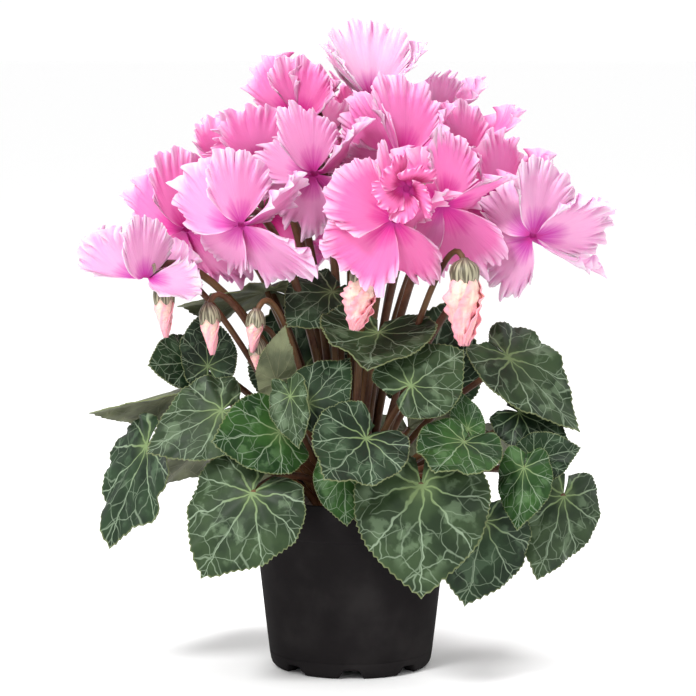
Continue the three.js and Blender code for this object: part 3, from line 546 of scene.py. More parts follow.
def leaf_veins(nodes, place, solid):
    """How much a point of the blade is vein: ribs from the stalk that thin out into a net of finer veins."""
    wander = nodes.add("ShaderNodeTexNoise", {"Vector": solid, "Scale": 80.0, "Detail": 2.0}).outputs["Color"]
    centred = nodes.vector("SUBTRACT", wander, (0.5, 0.5, 0.5))
    warped = nodes.vector("ADD", place, nodes.vector("MULTIPLY", centred, (0.13, 0.13, 0)))
    x, y, _ = nodes.split(warped)
    radius = nodes.math("SQRT", nodes.math("ADD", nodes.times(x, x), nodes.times(y, y)))
    turn = nodes.math("ARCTAN2", x, y)
    offset = nodes.math("ABSOLUTE", nodes.math("WRAP", turn, RIB_TURN / 2, -RIB_TURN / 2))
    off = nodes.times(radius, nodes.math("SINE", offset))
    along = nodes.times(radius, nodes.math("COSINE", offset))
    width = nodes.math("MULTIPLY_ADD", radius, -0.012, 0.0165)
    rib = nodes.smooth(off, nodes.times(width, 0.3), width, 1.0, 0.0)
    steps = nodes.math("DIVIDE", nodes.math("MULTIPLY_ADD", off, -1.1, along), 0.2)
    line = nodes.math("ABSOLUTE", nodes.math("SUBTRACT", nodes.math("FRACT", steps), 0.5))
    side = nodes.smooth(line, 0.015, 0.06, 1.0, 0.0)
    side = nodes.times(side, nodes.smooth(radius, 0.22, 0.34))
    side = nodes.times(side, nodes.smooth(off, 0.12, 0.2, 1.0, 0.0))
    net_inputs = {"Vector": nodes.combine(x, y, 0.0), "Scale": 4.0, "Randomness": 1.0}
    edge = nodes.add("ShaderNodeTexVoronoi", net_inputs, feature="DISTANCE_TO_EDGE").outputs["Distance"]
    net = nodes.times(nodes.smooth(edge, 0.006, 0.028, 0.65, 0.0), nodes.smooth(radius, 0.3, 0.6))
    veins = nodes.math("MAXIMUM", rib, nodes.math("MAXIMUM", nodes.times(side, 0.45), net))
    return veins, radius


def leaf_material(tone):
    nodes = Nodes("leaf_" + tone)
    colours = LEAF_TONES[tone]
    place = nodes.place()
    solid = nodes.object()
    veins, radius = leaf_veins(nodes, place, solid)
    reach = nodes.split(place)[2]
    cloud = nodes.noise(solid, 45.0)
    colour = nodes.mix(nodes.smooth(cloud, 0.35, 0.65), colours["dark"], colours["light"])
    blotch = nodes.noise(solid, 85.0, 4.0)
    band = nodes.times(nodes.smooth(reach, 0.22, 0.5), nodes.smooth(reach, 0.75, 0.95, 1.0, 0.0))
    silver = nodes.times(nodes.smooth(blotch, 0.52, 0.62, 0.0, 0.65), band)
    colour = nodes.mix(silver, colour, colours["silver"])
    halo = nodes.times(nodes.smooth(radius, 0.0, 0.22, 0.35, 0.0), nodes.smooth(cloud, 0.3, 0.6))
    colour = nodes.mix(halo, colour, MIDRIB_COLOUR)
    vein_colour = nodes.mix(nodes.smooth(radius, 0.1, 0.45), MIDRIB_COLOUR, VEIN_COLOUR)
    strength = 0.3 if tone == "under" else 0.75
    colour = nodes.mix(nodes.times(veins, strength), colour, vein_colour)
    colour = nodes.mix(nodes.smooth(reach, 0.97, 0.995, 0.0, 0.6), colour, MARGIN_COLOUR)
    nodes.bump(nodes.math("SUBTRACT", nodes.times(blotch, 0.8), veins), 0.4, 0.0007)
    nodes.set("Specular IOR Level", 0.22)
    return nodes.finish(colour, nodes.smooth(cloud, 0.3, 0.7, 0.45, 0.6))


def leaf_underside():
    nodes = Nodes("leaf_underside")
    solid = nodes.object()
    veins, _ = leaf_veins(nodes, nodes.place(), solid)
    cloud = nodes.noise(solid, 60.0)
    colour = nodes.mix(nodes.smooth(cloud, 0.35, 0.65), UNDERSIDE["dark"], UNDERSIDE["light"])
    colour = nodes.mix(nodes.times(veins, 0.4), colour, UNDERSIDE["vein"])
    nodes.bump(veins, 0.5, 0.0008)
    return nodes.finish(colour, 0.6)


PETAL_TONES = {
    "pink": {"deep": (0.58, 0.02, 0.28), "body": (0.71, 0.165, 0.41), "edge": (0.83, 0.48, 0.67)},
    "vivid": {"deep": (0.62, 0.015, 0.26), "body": (0.74, 0.15, 0.39), "edge": (0.85, 0.47, 0.66)},
    "rose": {"deep": (0.34, 0.008, 0.12), "body": (0.72, 0.16, 0.39), "edge": (0.85, 0.5, 0.69)},
    "light": {"deep": (0.52, 0.045, 0.32), "body": (0.7, 0.27, 0.49), "edge": (0.81, 0.54, 0.7)},
    "pale": {"deep": (0.46, 0.055, 0.34), "body": (0.66, 0.33, 0.51), "edge": (0.77, 0.57, 0.68)},
    "blush": {"deep": (0.58, 0.12, 0.4), "body": (0.77, 0.45, 0.62), "edge": (0.85, 0.67, 0.78)},
}
THROAT_COLOUR = (0.44, 0.012, 0.22)


def petal_material(tone):
    nodes = Nodes("petal_" + tone)
    colours = PETAL_TONES[tone]
    place = nodes.split(nodes.place())
    across, reach, _ = place
    streak = nodes.streaks(place, 9.0, 1.2)
    fine = nodes.streaks(place, 34.0, 2.0, 2.0)
    cloud = nodes.noise(nodes.object(), 24.0, 2.0)
    shift = nodes.math("MULTIPLY_ADD", streak, 0.3, nodes.math("MULTIPLY_ADD", cloud, 0.3, -0.3))
    stops = [
        (0.02, THROAT_COLOUR),
        (0.12, colours["deep"]),
        (0.36, colours["body"]),
        (0.72, colours["body"]),
        (1.0, colours["edge"]),
    ]
    colour = nodes.ramp(nodes.math("ADD", reach, shift), stops)
    # Darker fine streaks towards the margin: partly the petal's fine veins, partly painted shade in the
    # valleys of the bump
    line = nodes.times(nodes.smooth(fine, 0.3, 0.6, 0.3, 0.0), nodes.smooth(reach, 0.5, 0.95, 0.25, 1.0))
    colour = nodes.mix(line, colour, colours["deep"])
    side = nodes.smooth(nodes.math("ABSOLUTE", across), 0.9, 1.0)
    rim = nodes.math("MAXIMUM", side, nodes.smooth(reach, 0.9, 1.0))
    rim = nodes.times(rim, nodes.smooth(reach, 0.2, 0.5, 0.0, 0.6))
    colour = nodes.mix(rim, colour, colours["edge"])
    # Painted light by fold height: painted shade in the valleys and folds, painted highlight on the ridges
    fold = nodes.add("ShaderNodeAttribute", {}, attribute_name="fold").outputs["Fac"]
    colour = nodes.mix(nodes.smooth(fold, -1.0, 0.1, 0.55, 0.0), colour, colours["deep"])
    colour = nodes.mix(nodes.smooth(fold, 0.0, 0.9, 0.0, 0.85), colour, colours["edge"])
    height = nodes.times(nodes.math("ADD", fine, streak), nodes.smooth(reach, 0.45, 1.0, 0.25, 1.6))
    nodes.bump(height, 0.45, 0.001)
    nodes.set("Subsurface Weight", 0.4)
    nodes.set("Subsurface Radius", (1.0, 0.4, 0.7))
    nodes.set("Subsurface Scale", 0.003)
    return nodes.finish(colour, 0.65)


STALK_TONES = {"dark": (0.075, 0.028, 0.014), "light": (0.12, 0.062, 0.024), "red": (0.17, 0.075, 0.042)}
SEPAL_TONES = {"dark": (0.075, 0.062, 0.035), "light": (0.36, 0.33, 0.22), "foot": (0.1, 0.045, 0.035)}
BUD_TONES = {"cream": (0.88, 0.62, 0.5), "pink": (0.88, 0.36, 0.42)}
POT_TONES = {"black": (0.014, 0.0125, 0.013), "dusty": (0.024, 0.022, 0.022)}
SOIL_TONES = {"dark": (0.012, 0.008, 0.005), "light": (0.06, 0.04, 0.025), "dry": (0.09, 0.065, 0.045)}
CORM_TONES = {"dark": (0.04, 0.02, 0.012), "light": (0.14, 0.085, 0.05)}
FLOOR_COLOUR = (0.97, 0.97, 0.97)


def stalk_material():
    nodes = Nodes("stalk")
    solid = nodes.object()
    cloud = nodes.noise(solid, 35.0)
    grain = nodes.noise(solid, 260.0)
    colour = nodes.mix(nodes.smooth(cloud, 0.4, 0.62), STALK_TONES["dark"], STALK_TONES["light"])
    colour = nodes.mix(nodes.smooth(grain, 0.4, 0.7, 0.0, 0.35), colour, STALK_TONES["red"])
    nodes.set("Specular IOR Level", 0.25)
    nodes.bump(grain, 0.2, 0.0003)
    return nodes.finish(colour, 0.42)


def sepal_material():
    nodes = Nodes("sepal")
    place = nodes.split(nodes.place())
    stripe = nodes.streaks(place, 9.0, 1.0, 2.0)
    colour = nodes.mix(nodes.smooth(stripe, 0.4, 0.6), SEPAL_TONES["dark"], SEPAL_TONES["light"])
    colour = nodes.mix(nodes.smooth(place[1], 0.0, 0.3, 0.8, 0.0), colour, SEPAL_TONES["foot"])
    nodes.bump(stripe, 0.3, 0.0005)
    return nodes.finish(colour, 0.5)


def bud_material():
    nodes = Nodes("bud")
    place = nodes.split(nodes.place())
    across, reach, _ = place
    streak = nodes.streaks(place, 2.0, 14.0)
    cloud = nodes.noise(nodes.object(), 120.0, 2.0)
    margin = nodes.smooth(nodes.math("ABSOLUTE", across), 0.3, 1.0)
    shade = nodes.math("MULTIPLY_ADD", reach, 0.5, nodes.math("MULTIPLY_ADD", margin, 0.35, -0.35))
    shade = nodes.math("ADD", shade, nodes.math("MULTIPLY_ADD", cloud, 0.5, nodes.times(streak, 0.35)))
    colour = nodes.mix(nodes.smooth(shade, 0.05, 0.65), BUD_TONES["cream"], BUD_TONES["pink"])
    nodes.bump(streak, 0.8, 0.0012)
    nodes.set("Subsurface Weight", 0.2)
    nodes.set("Subsurface Scale", 0.002)
    return nodes.finish(colour, 0.6)


def pot_material():
    nodes = Nodes("pot")
    solid = nodes.object()
    dust = nodes.noise(solid, 30.0, 6.0)
    grain = nodes.noise(solid, 900.0, 2.0)
    colour = nodes.mix(nodes.smooth(dust, 0.4, 0.75), POT_TONES["black"], POT_TONES["dusty"])
    nodes.bump(grain, 0.12, 0.0002)
    nodes.set("Specular IOR Level", 0.01)
    return nodes.finish(colour, nodes.smooth(dust, 0.35, 0.7, 0.6, 0.75))


def soil_material():
    nodes = Nodes("soil")
    solid = nodes.object()
    crumbs = nodes.noise(solid, 220.0, 6.0)
    lumps = nodes.noise(solid, 90.0, 4.0)
    colour = nodes.mix(nodes.smooth(crumbs, 0.4, 0.65), SOIL_TONES["dark"], SOIL_TONES["light"])
    colour = nodes.mix(nodes.smooth(lumps, 0.5, 0.7, 0.0, 0.5), colour, SOIL_TONES["dry"])
    nodes.bump(crumbs, 0.8, 0.001)
    return nodes.finish(colour, 0.95)


def corm_material():
    nodes = Nodes("corm")
    solid = nodes.object()
    bark = nodes.noise(solid, 160.0, 6.0)
    colour = nodes.mix(nodes.smooth(bark, 0.35, 0.65), CORM_TONES["dark"], CORM_TONES["light"])
    nodes.bump(bark, 0.6, 0.0008)
    return nodes.finish(colour, 0.85)


# Mesh making
def finish_mesh(name, shape, materials):
    """Turns a bmesh in metres into a linked object."""
    mesh = bpy.data.meshes.new(name)
    shape.to_mesh(mesh)
    shape.free()
    for material in materials:
        mesh.materials.append(material)
    piece = bpy.data.objects.new(name, mesh)
    bpy.context.scene.collection.objects.link(piece)
    return piece


def add_piece(name, shape, materials, slot, *nodes):
    """A smooth piece that rides on the part's one body in place of its nodes."""
    for face in shape.faces:
        face.smooth = True
    piece = finish_mesh(name, shape, materials)
    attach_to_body(piece, "root")
    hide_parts(*nodes)
    return piece


def new_shape():
    """An empty bmesh with room for each vertex's place on its blade and how far it is folded out, for painted
    shading.
    """
    shape = bmesh.new()
    shape.verts.layers.float_vector.new("place")
    shape.verts.layers.float.new("fold")
    return shape


def add_grid(shape, columns, rows):
    """Adds a grid and returns its vertices, with each one's place across, -1 to 1, and along, 0 to 1."""
    verts = bmesh.ops.create_grid(shape, x_segments=columns, y_segments=rows, size=1)["verts"]
    across = np.array([v.co.x for v in verts])
    along = np.array([(v.co.y + 1) / 2 for v in verts])
    return verts, across, along


def lay(shape, verts, points, place):
    """Moves vertices to points inside the part's box, and keeps where each lies on its blade."""
    layer = shape.verts.layers.float_vector["place"]
    low, high = np.array(CAD_BOX) / MM
    inside = np.clip(points, low + BOX_MARGIN, high - BOX_MARGIN)
    for vert, point, where in zip(verts, inside, place):
        vert.co = point * MM
        vert[layer] = where


def make_thick(piece, thickness, under=0):
    """Gives a sheet its thickness, and its underside the material that comes so many places later."""
    solid = piece.modifiers.new("thickness", "SOLIDIFY")
    solid.thickness = thickness * MM
    solid.offset = 0
    solid.material_offset = under


def use_second_material(shape, first):
    """Gives the faces from the first on, which were added last, the piece's second material."""
    shape.faces.ensure_lookup_table()
    for face in shape.faces[first:]:
        face.material_index = 1


def sharpen_margin(shape):
    for edge in shape.edges:
        if edge.is_boundary:
            edge.smooth = False


def close_seam(shape):
    bmesh.ops.remove_doubles(shape, verts=shape.verts, dist=1e-6)


def spun(profile, steps):
    """A full turn of (radius, height) points round the z axis, in metres, as a closed shell."""
    shape = bmesh.new()
    verts = [shape.verts.new((r * MM, 0, z * MM)) for r, z in profile]
    edges = [shape.edges.new(pair) for pair in zip(verts, verts[1:])]
    turn = {"cent": (0, 0, 0), "axis": (0, 0, 1), "angle": math.tau, "steps": steps, "use_merge": True}
    bmesh.ops.spin(shape, geom=verts + edges, **turn)
    close_seam(shape)
    bmesh.ops.recalc_face_normals(shape, faces=shape.faces)
    return shape


# Directions and draws
def unit(vector):
    vector = np.asarray(vector, float)
    return vector / np.linalg.norm(vector)


def square_to(vector, axis):
    vector = np.asarray(vector, float)
    return unit(vector - vector.dot(axis) * axis)


def jitter(piece, draw):
    """A repeatable draw from -1 to 1 for a piece's number and the draw's own number."""
    wide = math.sin(piece * 127.1 + draw * 311.7) * 43758.5453
    return 2 * (wide - math.floor(wide)) - 1


def wave_start(piece, draw):
    """Where a wave of a leaf starts, in radians."""
    return 3 * jitter(piece, draw)


def angles(seed, count):
    """Repeatable random angles, for where the waves of a petal start."""
    return np.random.default_rng(seed).uniform(0, math.tau, count)


def smoothstep(value, low, high):
    share = np.clip((value - low) / (high - low), 0, 1)
    return share * share * (3 - 2 * share)


# Leaf blades
def leaf_frame(leaf):
    along = np.subtract(leaf["tip"], leaf["attach"]).astype(float)
    length = np.linalg.norm(along)
    along = along / length
    up = square_to(unit(leaf["face"]), along)
    return along, up, np.cross(up, along), length


def leaf_points(leaf, number, reach, turn, cut, lift=0.0):
    """Points of a blade in millimetres, and where each lies on it, in leaf lengths."""
    along, up, side, length = leaf_frame(leaf)
    point = LEAF_POINT * np.exp(-np.abs(turn) / LEAF_POINT_TURN)
    lobe = LEAF_ROUND + LEAF_LONG * np.cos(turn) + point
    notch = 1 - LEAF_NOTCH_DEPTH * smoothstep(np.abs(turn), LEAF_NOTCH_START, LEAF_NOTCH)
    r = length * lobe * notch * reach * (1 - cut)
    x = r * np.sin(turn) * leaf["wide"]
    y = r * np.cos(turn)
    long_wave = LEAF_LONG_WAVE * np.sin(LEAF_LONG_WAVES * turn + wave_start(number, 1))
    short_wave = LEAF_SHORT_WAVE * np.sin(LEAF_SHORT_WAVES * turn + wave_start(number, 2))
    margin = (long_wave + short_wave - leaf["droop"]) * reach * reach
    bow = LEAF_BOW * jitter(number, 3) * (y / length) ** 2
    height = length * (margin + bow + lift) + leaf["fold"] * np.abs(x) * (0.5 + 0.5 * reach)
    points = np.array(leaf["attach"]) + np.outer(x, side) + np.outer(y, along) + np.outer(height, up)
    return points, np.column_stack([r * np.sin(turn) / length, y / length, reach])


def leaf_samples(leaf, number):
    """The points that the solid blade has, in its order: the stalk's point, a middle row and the margin."""
    reach = [0.0]
    turn = [0.0]
    cut = [0.0]
    for row, spans, tooth in ((LEAF_MIDDLE_ROW, LEAF_SPANS, 0), (1, 2 * LEAF_SPANS, LEAF_TOOTH)):
        for i in range(spans + 1):
            reach.append(row)
            turn.append(LEAF_NOTCH * (2 * i / spans - 1))
            cut.append((i % 2) * tooth)
    return leaf_points(leaf, number, np.array(reach), np.array(turn), np.array(cut))[0]


def leaf_relief(number, reach, turn):
    """The finer relief of a blade: it rises between the ribs and is frilled at the margin."""
    pillow = LEAF_PILLOW * (1 - np.cos(math.tau * turn / RIB_TURN)) / 2 * reach
    frill = LEAF_FRILL * reach**3 * np.sin(LEAF_FRILLS * turn + wave_start(number, 4))
    crimp = LEAF_CRIMP * reach**5 * np.sin(LEAF_CRIMPS * turn + wave_start(number, 5))
    return pillow + frill + crimp


def leaf_cuts(number, reach, turn):
    """The outline's shallow lobes and, at the margin, its small uneven teeth."""
    lobes = LEAF_LOBE * (1 - np.cos(math.pi * LEAF_SPANS * (turn / LEAF_NOTCH + 1))) / 2
    column = np.rint((turn / LEAF_NOTCH + 1) / 2 * LEAF_COLUMNS).astype(int)
    uneven = np.random.default_rng(number).uniform(*SERRATION_SIZES, LEAF_COLUMNS + 1)
    teeth = LEAF_SERRATION * (column % 2) * uneven[column]
    return lobes * reach + teeth * smoothstep(reach, *SERRATION_REACH)


def make_leaf(leaf, number, walls, materials):
    shape = new_shape()
    verts, across, along = add_grid(shape, LEAF_COLUMNS, LEAF_ROWS)
    turn = -LEAF_NOTCH * across
    reach = along**LEAF_ROW_EASE
    cut = leaf_cuts(number, reach, turn)
    points, place = leaf_points(leaf, number, reach, turn, cut, leaf_relief(number, reach, turn))
    lay(shape, verts, ease_back(points, walls), place)
    close_seam(shape)
    sharpen_margin(shape)
    tone = materials[leaf["tone"]]
    name = f"leaf_{number + 1:02d}"
    piece = add_piece("dressed_" + name, shape, [tone, materials["underside"]], "leaf", name)
    make_thick(piece, BLADE_THICKNESS, under=1)


# Blooms
def bloom_frame(bloom):
    mouth = unit(bloom["mouth"])
    top = square_to((0, 0, 1), mouth)
    return mouth, top, np.cross(mouth, top)


def petal_turn(bloom, number, k):
    draw = jitter(number * PETALS + k, 1)
    return math.radians(bloom["spin"] - 90 + 360 / PETALS * k + TURN_DRAW * draw)


def ring_points(bloom, turn, radius=THROAT_RADIUS, depth=THROAT_DEPTH):
    """Points round the throat, at a distance from its axis and in front of its middle."""
    mouth, top, right = bloom_frame(bloom)
    outward = np.outer(np.cos(turn), top) + np.outer(np.sin(turn), right)
    forward = np.outer(np.ones_like(turn) * depth, mouth)
    return np.array(bloom["hub"]) + outward * np.reshape(radius, (-1, 1)) + forward


def petal_points(bloom, number, k, reach, across, fringe=0.0, lift=0.0, wave=1.0):
    """Points of petal k away from the throat."""
    mouth, top, right = bloom_frame(bloom)
    draw = number * PETALS + k
    turn = petal_turn(bloom, number, k)
    outward = top * math.cos(turn) + right * math.sin(turn)
    sideways = np.cross(mouth, outward)
    reflex = bloom["reflex"][k]
    extra_twist = bloom["twist"][k] + PETAL_TWIST_SHARE * max(0, reflex) + TWIST_DRAW * jitter(draw, 3)
    twist = math.radians(PETAL_TWIST + extra_twist)

    length = PETAL_LENGTH * bloom["size"] * (1 + LENGTH_DRAW * jitter(draw, 2))
    rim = length * (1 - PETAL_CORNER * np.abs(across) ** 3) * (1 - fringe)
    r = PETAL_CLAW + reach * (rim - PETAL_CLAW)
    x = r * np.sin(PETAL_HALF_ANGLE * across)
    y = r * np.cos(PETAL_HALF_ANGLE * across) - PETAL_CLAW

    start = math.radians(reflex) - PETAL_CURL / 2
    bend = PETAL_CURL / length
    lean = start + bend * y
    run = (np.sin(lean) - math.sin(start)) / bend
    rise = (math.cos(start) - np.cos(lean)) / bend
    normal = np.outer(np.sin(lean), outward) + np.outer(np.cos(lean), mouth)

    ruffle = wave * PETAL_RUFFLE * reach**3 * np.cos(RUFFLES * math.pi * across)
    ruffle = ruffle * (1 + RUFFLE_DRAW * jitter(draw, 4))
    cup = PETAL_CUP * x * x * jitter(draw, 5)
    height = x * math.sin(twist) + ruffle + cup + lift
    flat = np.outer(THROAT_RADIUS + run, outward) + np.outer(THROAT_DEPTH - rise, mouth)
    return np.array(bloom["hub"]) + flat + np.outer(x * math.cos(twist), sideways) + normal * height[:, None]


def bloom_samples(bloom, number):
    """The points that the solid bloom has, in its order: the hub and three rows of each petal."""
    rows = [np.array([bloom["hub"]], float)]
    for k in range(PETALS):
        for reach, count in PETAL_ROWS:
            across = np.linspace(-1, 1, count)
            if reach == 0:
                rows.append(ring_points(bloom, petal_turn(bloom, number, k) + THROAT_SHARE * across))
            else:
                rows.append(petal_points(bloom, number, k, np.full(count, reach), across))
    return np.vstack(rows)


def uneven_turn(across, waves, begin, start, size=1):
    """The angle of an uneven wave across a petal. A small petal has fewer waves."""
    count, drift, often = waves
    return math.tau * count * size * across + drift * np.sin(often * across + begin) + start


def swelling(across, share, often, start):
    """A height of 1 that sinks by up to twice the share across a petal."""
    return 1 - share + share * np.sin(often * across + start)


def margin_curl(outer, ruffle, wave):
    """How far the curled margin rises, and how much shorter the petal gets by it."""
    arc = PETAL_LENGTH * (1 - CURL_START) * outer
    angle = CURL * ruffle * outer * (wave - CURL_BACK)
    rise = arc * angle / 2 * np.sinc(angle / math.tau) ** 2
    return rise, CURL_PULL * arc * (1 - np.sinc(angle / math.pi))


def petal_relief(draw, reach, across, ruffle, size):
    """What ruffles a petal: its rise and its shortening, its shift across in half widths, and its painted
    pleat shading.

    The blade waves, its outer part folds, and its margin curls forwards and backwards by turns, with crimps.
    """
    a, b, c, d, e, f = angles(RELIEF_SEED + draw, 6)
    crease = CREASE * reach**1.5 * np.sin(math.tau * CREASES * across + a)
    turn = uneven_turn(across, FOLDS, c, b, size)
    depth = smoothstep(reach, *FOLD_REACH) ** 1.5 * swelling(across, 0.25, 4.3, d) * ruffle
    outer = np.clip((reach - CURL_START) / (1 - CURL_START), 0, 1)
    curl, shorten = margin_curl(outer, ruffle, np.sin(uneven_turn(across, CURLS, d, e, size)))
    crimps = np.sin(uneven_turn(across, CRIMPS, e, f, size))
    crimps = swelling(across, 0.3, 3.7, b) * smoothstep(reach, *CRIMP_REACH) * crimps
    frill = smoothstep(reach, *FRILL_REACH) * np.sin(uneven_turn(across, FRILLS, a, 0, size))
    rise = crease + FOLD * depth * np.sin(turn) + curl + (CRIMP * crimps + FRILL * frill) * min(1, ruffle)
    # The pleats are painted light: valleys and folds get painted shade, ridges get a painted highlight
    pleat_shading = PLEAT_SHADE_OF_RISE * (rise - CRIMP * crimps) + PLEAT_SHADE_OF_CRIMP * crimps + PLEAT_SHADE_OF_FRILL * frill
    return rise, shorten, FOLD_SHIFT * depth * np.sin(2 * turn), pleat_shading


def petal_fringe(draw, reach, across):
    """How far the margin is cut back: uneven round teeth over scallops."""
    a, b, c = angles(FRINGE_SEED + draw, 3)
    teeth = 1 - np.abs(np.sin(uneven_turn(across, TEETH, a, b) / 2))
    teeth = FRINGE * swelling(across, 0.3, 7, c) * teeth
    scallops = SCALLOP * (1 - np.abs(np.cos(uneven_turn(across, SCALLOPS, c, b))))
    return teeth * smoothstep(reach, *FRINGE_REACH) + scallops * smoothstep(reach, *SCALLOP_REACH)


def add_petal(shape, bloom, number, k, walls):
    draw = number * PETALS + k
    verts, across, along = add_grid(shape, bloom["columns"], PETAL_LINES)
    reach = 1 - (1 - along) ** PETAL_LINE_EASE
    fringe = petal_fringe(draw, reach, across)
    size = min(1, bloom["size"])
    rise, shorten, shift, pleat_shading = petal_relief(draw, reach, across, bloom["ruffle"], size)
    cut = fringe + shorten / PETAL_LENGTH
    rounded = across * (1 - CORNER_ROUND * smoothstep(reach, *CORNER_REACH) * across**4)
    sweep = rounded * bloom["spread"] - shift
    blade = petal_points(bloom, number, k, reach, sweep, cut, rise * bloom["size"], bloom["wave"])
    turn = petal_turn(bloom, number, k) + THROAT_SHARE * THROAT_OVERLAP * across
    ring = ring_points(bloom, turn, THROAT_MOUTH, THROAT_DEPTH)
    blend = smoothstep(reach, 0, THROAT_BLEND)[:, None]
    place = np.column_stack([across, reach * bloom["tint"], np.full_like(reach, STREAK_STEP * draw)])
    lay(shape, verts, ease_back(ring * (1 - blend) + blade * blend, walls), place)
    # Each vertex's fold height, which the petal's colour paints as shade in valleys and highlight on ridges
    layer = shape.verts.layers.float["fold"]
    for vert, height in zip(verts, pleat_shading):
        vert[layer] = height


def add_throat(shape, bloom, walls):
    """The cup that the petals grow from, open to the front and dark like their throats."""
    verts, across, along = add_grid(shape, *THROAT_GRID)
    turn = math.pi * across
    radius = THROAT_MOUTH * np.sin(math.pi / 2 * along**0.7)
    depth = THROAT_DEPTH * along**2
    place = np.column_stack([across, 0.1 * along - 0.1, np.zeros_like(along)])
    lay(shape, verts, ease_back(ring_points(bloom, turn, radius, depth), walls), place)


def add_sepals(shape, bloom, number, walls):
    """Five small pointed sepals behind the petals."""
    mouth, top, right = bloom_frame(bloom)
    for k in range(PETALS):
        first = len(shape.faces)
        verts, across, along = add_grid(shape, *SEPAL_GRID)
        turn = petal_turn(bloom, number, k) + math.pi / PETALS
        reflex = (bloom["reflex"][k] + bloom["reflex"][(k + 1) % PETALS]) / 2 + SEPAL_LEAN
        lean = math.radians(max(reflex, LEAST_SEPAL_LEAN))
        outward = top * math.cos(turn) + right * math.sin(turn)
        sideways = np.cross(mouth, outward)
        reach = SEPAL_LENGTH * along
        width = SEPAL_HALF_WIDTH * np.sin(math.pi * np.clip(along, 0.08, 1) ** 0.8) ** 0.8
        behind = SEPAL_BEHIND + reach * math.sin(lean) - SEPAL_CUP * (across * width) ** 2
        points = (
            np.array(bloom["hub"])
            + np.outer(SEPAL_START + reach * math.cos(lean), outward)
            - np.outer(behind, mouth)
            + np.outer(across * width, sideways)
        )
        lay(shape, verts, ease_back(points, walls), np.column_stack([across, along, np.zeros_like(along)]))
        use_second_material(shape, first)


def make_bloom(bloom, number, walls, materials):
    shape = new_shape()
    for k in range(PETALS):
        add_petal(shape, bloom, number, k, walls)
    add_throat(shape, bloom, walls)
    add_sepals(shape, bloom, number, walls)
    close_seam(shape)
    sharpen_margin(shape)
    name = f"bloom_{number + 1:02d}"
    looks = [materials[bloom["tone"]], materials["sepal"]]
    piece = add_piece("dressed_" + name, shape, looks, "petal", name)
    make_thick(piece, PETAL_THICKNESS)


# Buds
def bud_axes(bud):
    down = unit((*bud["tilt"], -1))
    side = square_to((1, 0, 0), down)
    return down, side, np.cross(down, side)


def bud_points(bud, turn, depth, radius):
    down, side, front = bud_axes(bud)
    around = np.outer(radius * np.cos(turn), side) + np.outer(radius * np.sin(turn), front)
    return np.array(bud["top"]) + np.outer(depth, down) + around


def bud_samples(bud):
    """The points that the solid bud has, in its order: its top and each ring."""
    rows = [np.array([bud["top"]], float)]
    i = np.arange(BUD_AROUND)
    for share, width in [(0, 1), *BUD_RINGS]:
        ridge = BUD_RIDGE + FRILL_RIDGE * bud["frill"] * min(1, 2 * share)
        radius = bud["radius"] * width * (1 + FRILL_FLARE * bud["frill"] * share)
        turn = math.tau * i / BUD_AROUND + BUD_TWIST * share
        depth = np.full(BUD_AROUND, CUP_DEPTH + SEAT_GAP + bud["length"] * share)
        rows.append(bud_points(bud, turn, depth, radius * np.where(i % 2, 1 - ridge, 1 + ridge)))
    return np.vstack(rows)


def bud_girth(frill, along):
    """A bud's girth along it, in radii. An open one is slim at its cup, a closed one towards its tip."""
    girth = np.interp(along, *zip(*BUD_RINGS)) * (1 + FRILL_FLARE * frill * along)
    girth = girth * (1 - OPEN_SLIMNESS * frill * (1 - smoothstep(along, 0.08, 0.4)))
    return girth * (1 - CLOSED_SLIMNESS * (1 - frill) * smoothstep(along, 0.2, 0.6))


def bud_relief(frill, across, along, a, b, c):
    """How a rolled petal stands off the bud, as a share of its girth: loose margin, crimps and pleats."""
    loose = (LOOSE[0] + LOOSE[1] * frill * smoothstep(along, 0.1, 0.7)) * smoothstep(across, 0.3, 1)
    margin = smoothstep(np.abs(across), 0.15, 1) * smoothstep(along, 0.05, 0.35)
    crimp = np.sin(BUD_CRIMPS * along + 2.5 * across + 1.5 * np.sin(9 * along + b) + a) * margin
    pleat = np.sin(BUD_PLEATS * along + 5 * across + 1.2 * np.sin(7 * across + a) + c)
    pleat = pleat * smoothstep(along, 0.05, 0.3)
    relief = 0.98 + 0.08 * across + loose + (BUD_CRIMP[0] + BUD_CRIMP[1] * frill) * crimp
    return relief + (BUD_PLEAT[0] + BUD_PLEAT[1] * frill) * pleat


def add_bud_petals(shape, bud, number):
    """Five petals wound round each other, with crimped margins that stand off where the bud is half open."""
    frill = bud["frill"]
    rows = OPEN_BUD_ROWS if frill > OPEN_FRILL else CLOSED_BUD_ROWS
    for k in range(PETALS):
        a, b, c = angles(BUD_SEED + number * PETALS + k, 3)
        verts, across, along = add_grid(shape, BUD_COLUMNS, rows)
        turn = math.tau * k / PETALS + BUD_PETAL_HALF_TURN * across * (1 - 0.3 * along)
        turn = turn + BUD_WIND * BUD_TWIST * along
        radius = bud["radius"] * bud_girth(frill, along) * bud_relief(frill, across, along, a, b, c)
        teeth = BUD_TEETH * (1 + np.sin(19 * across + b)) * smoothstep(along, 0.8, 1)
        depth = CUP_DEPTH - BUD_UNDER_CUP + (bud["length"] + BUD_UNDER_CUP) * (along - teeth)
        streak = np.full_like(along, number + BUD_STREAK_STEP * k)
        lay(shape, verts, bud_points(bud, turn, depth, radius), np.column_stack([across, along, streak]))


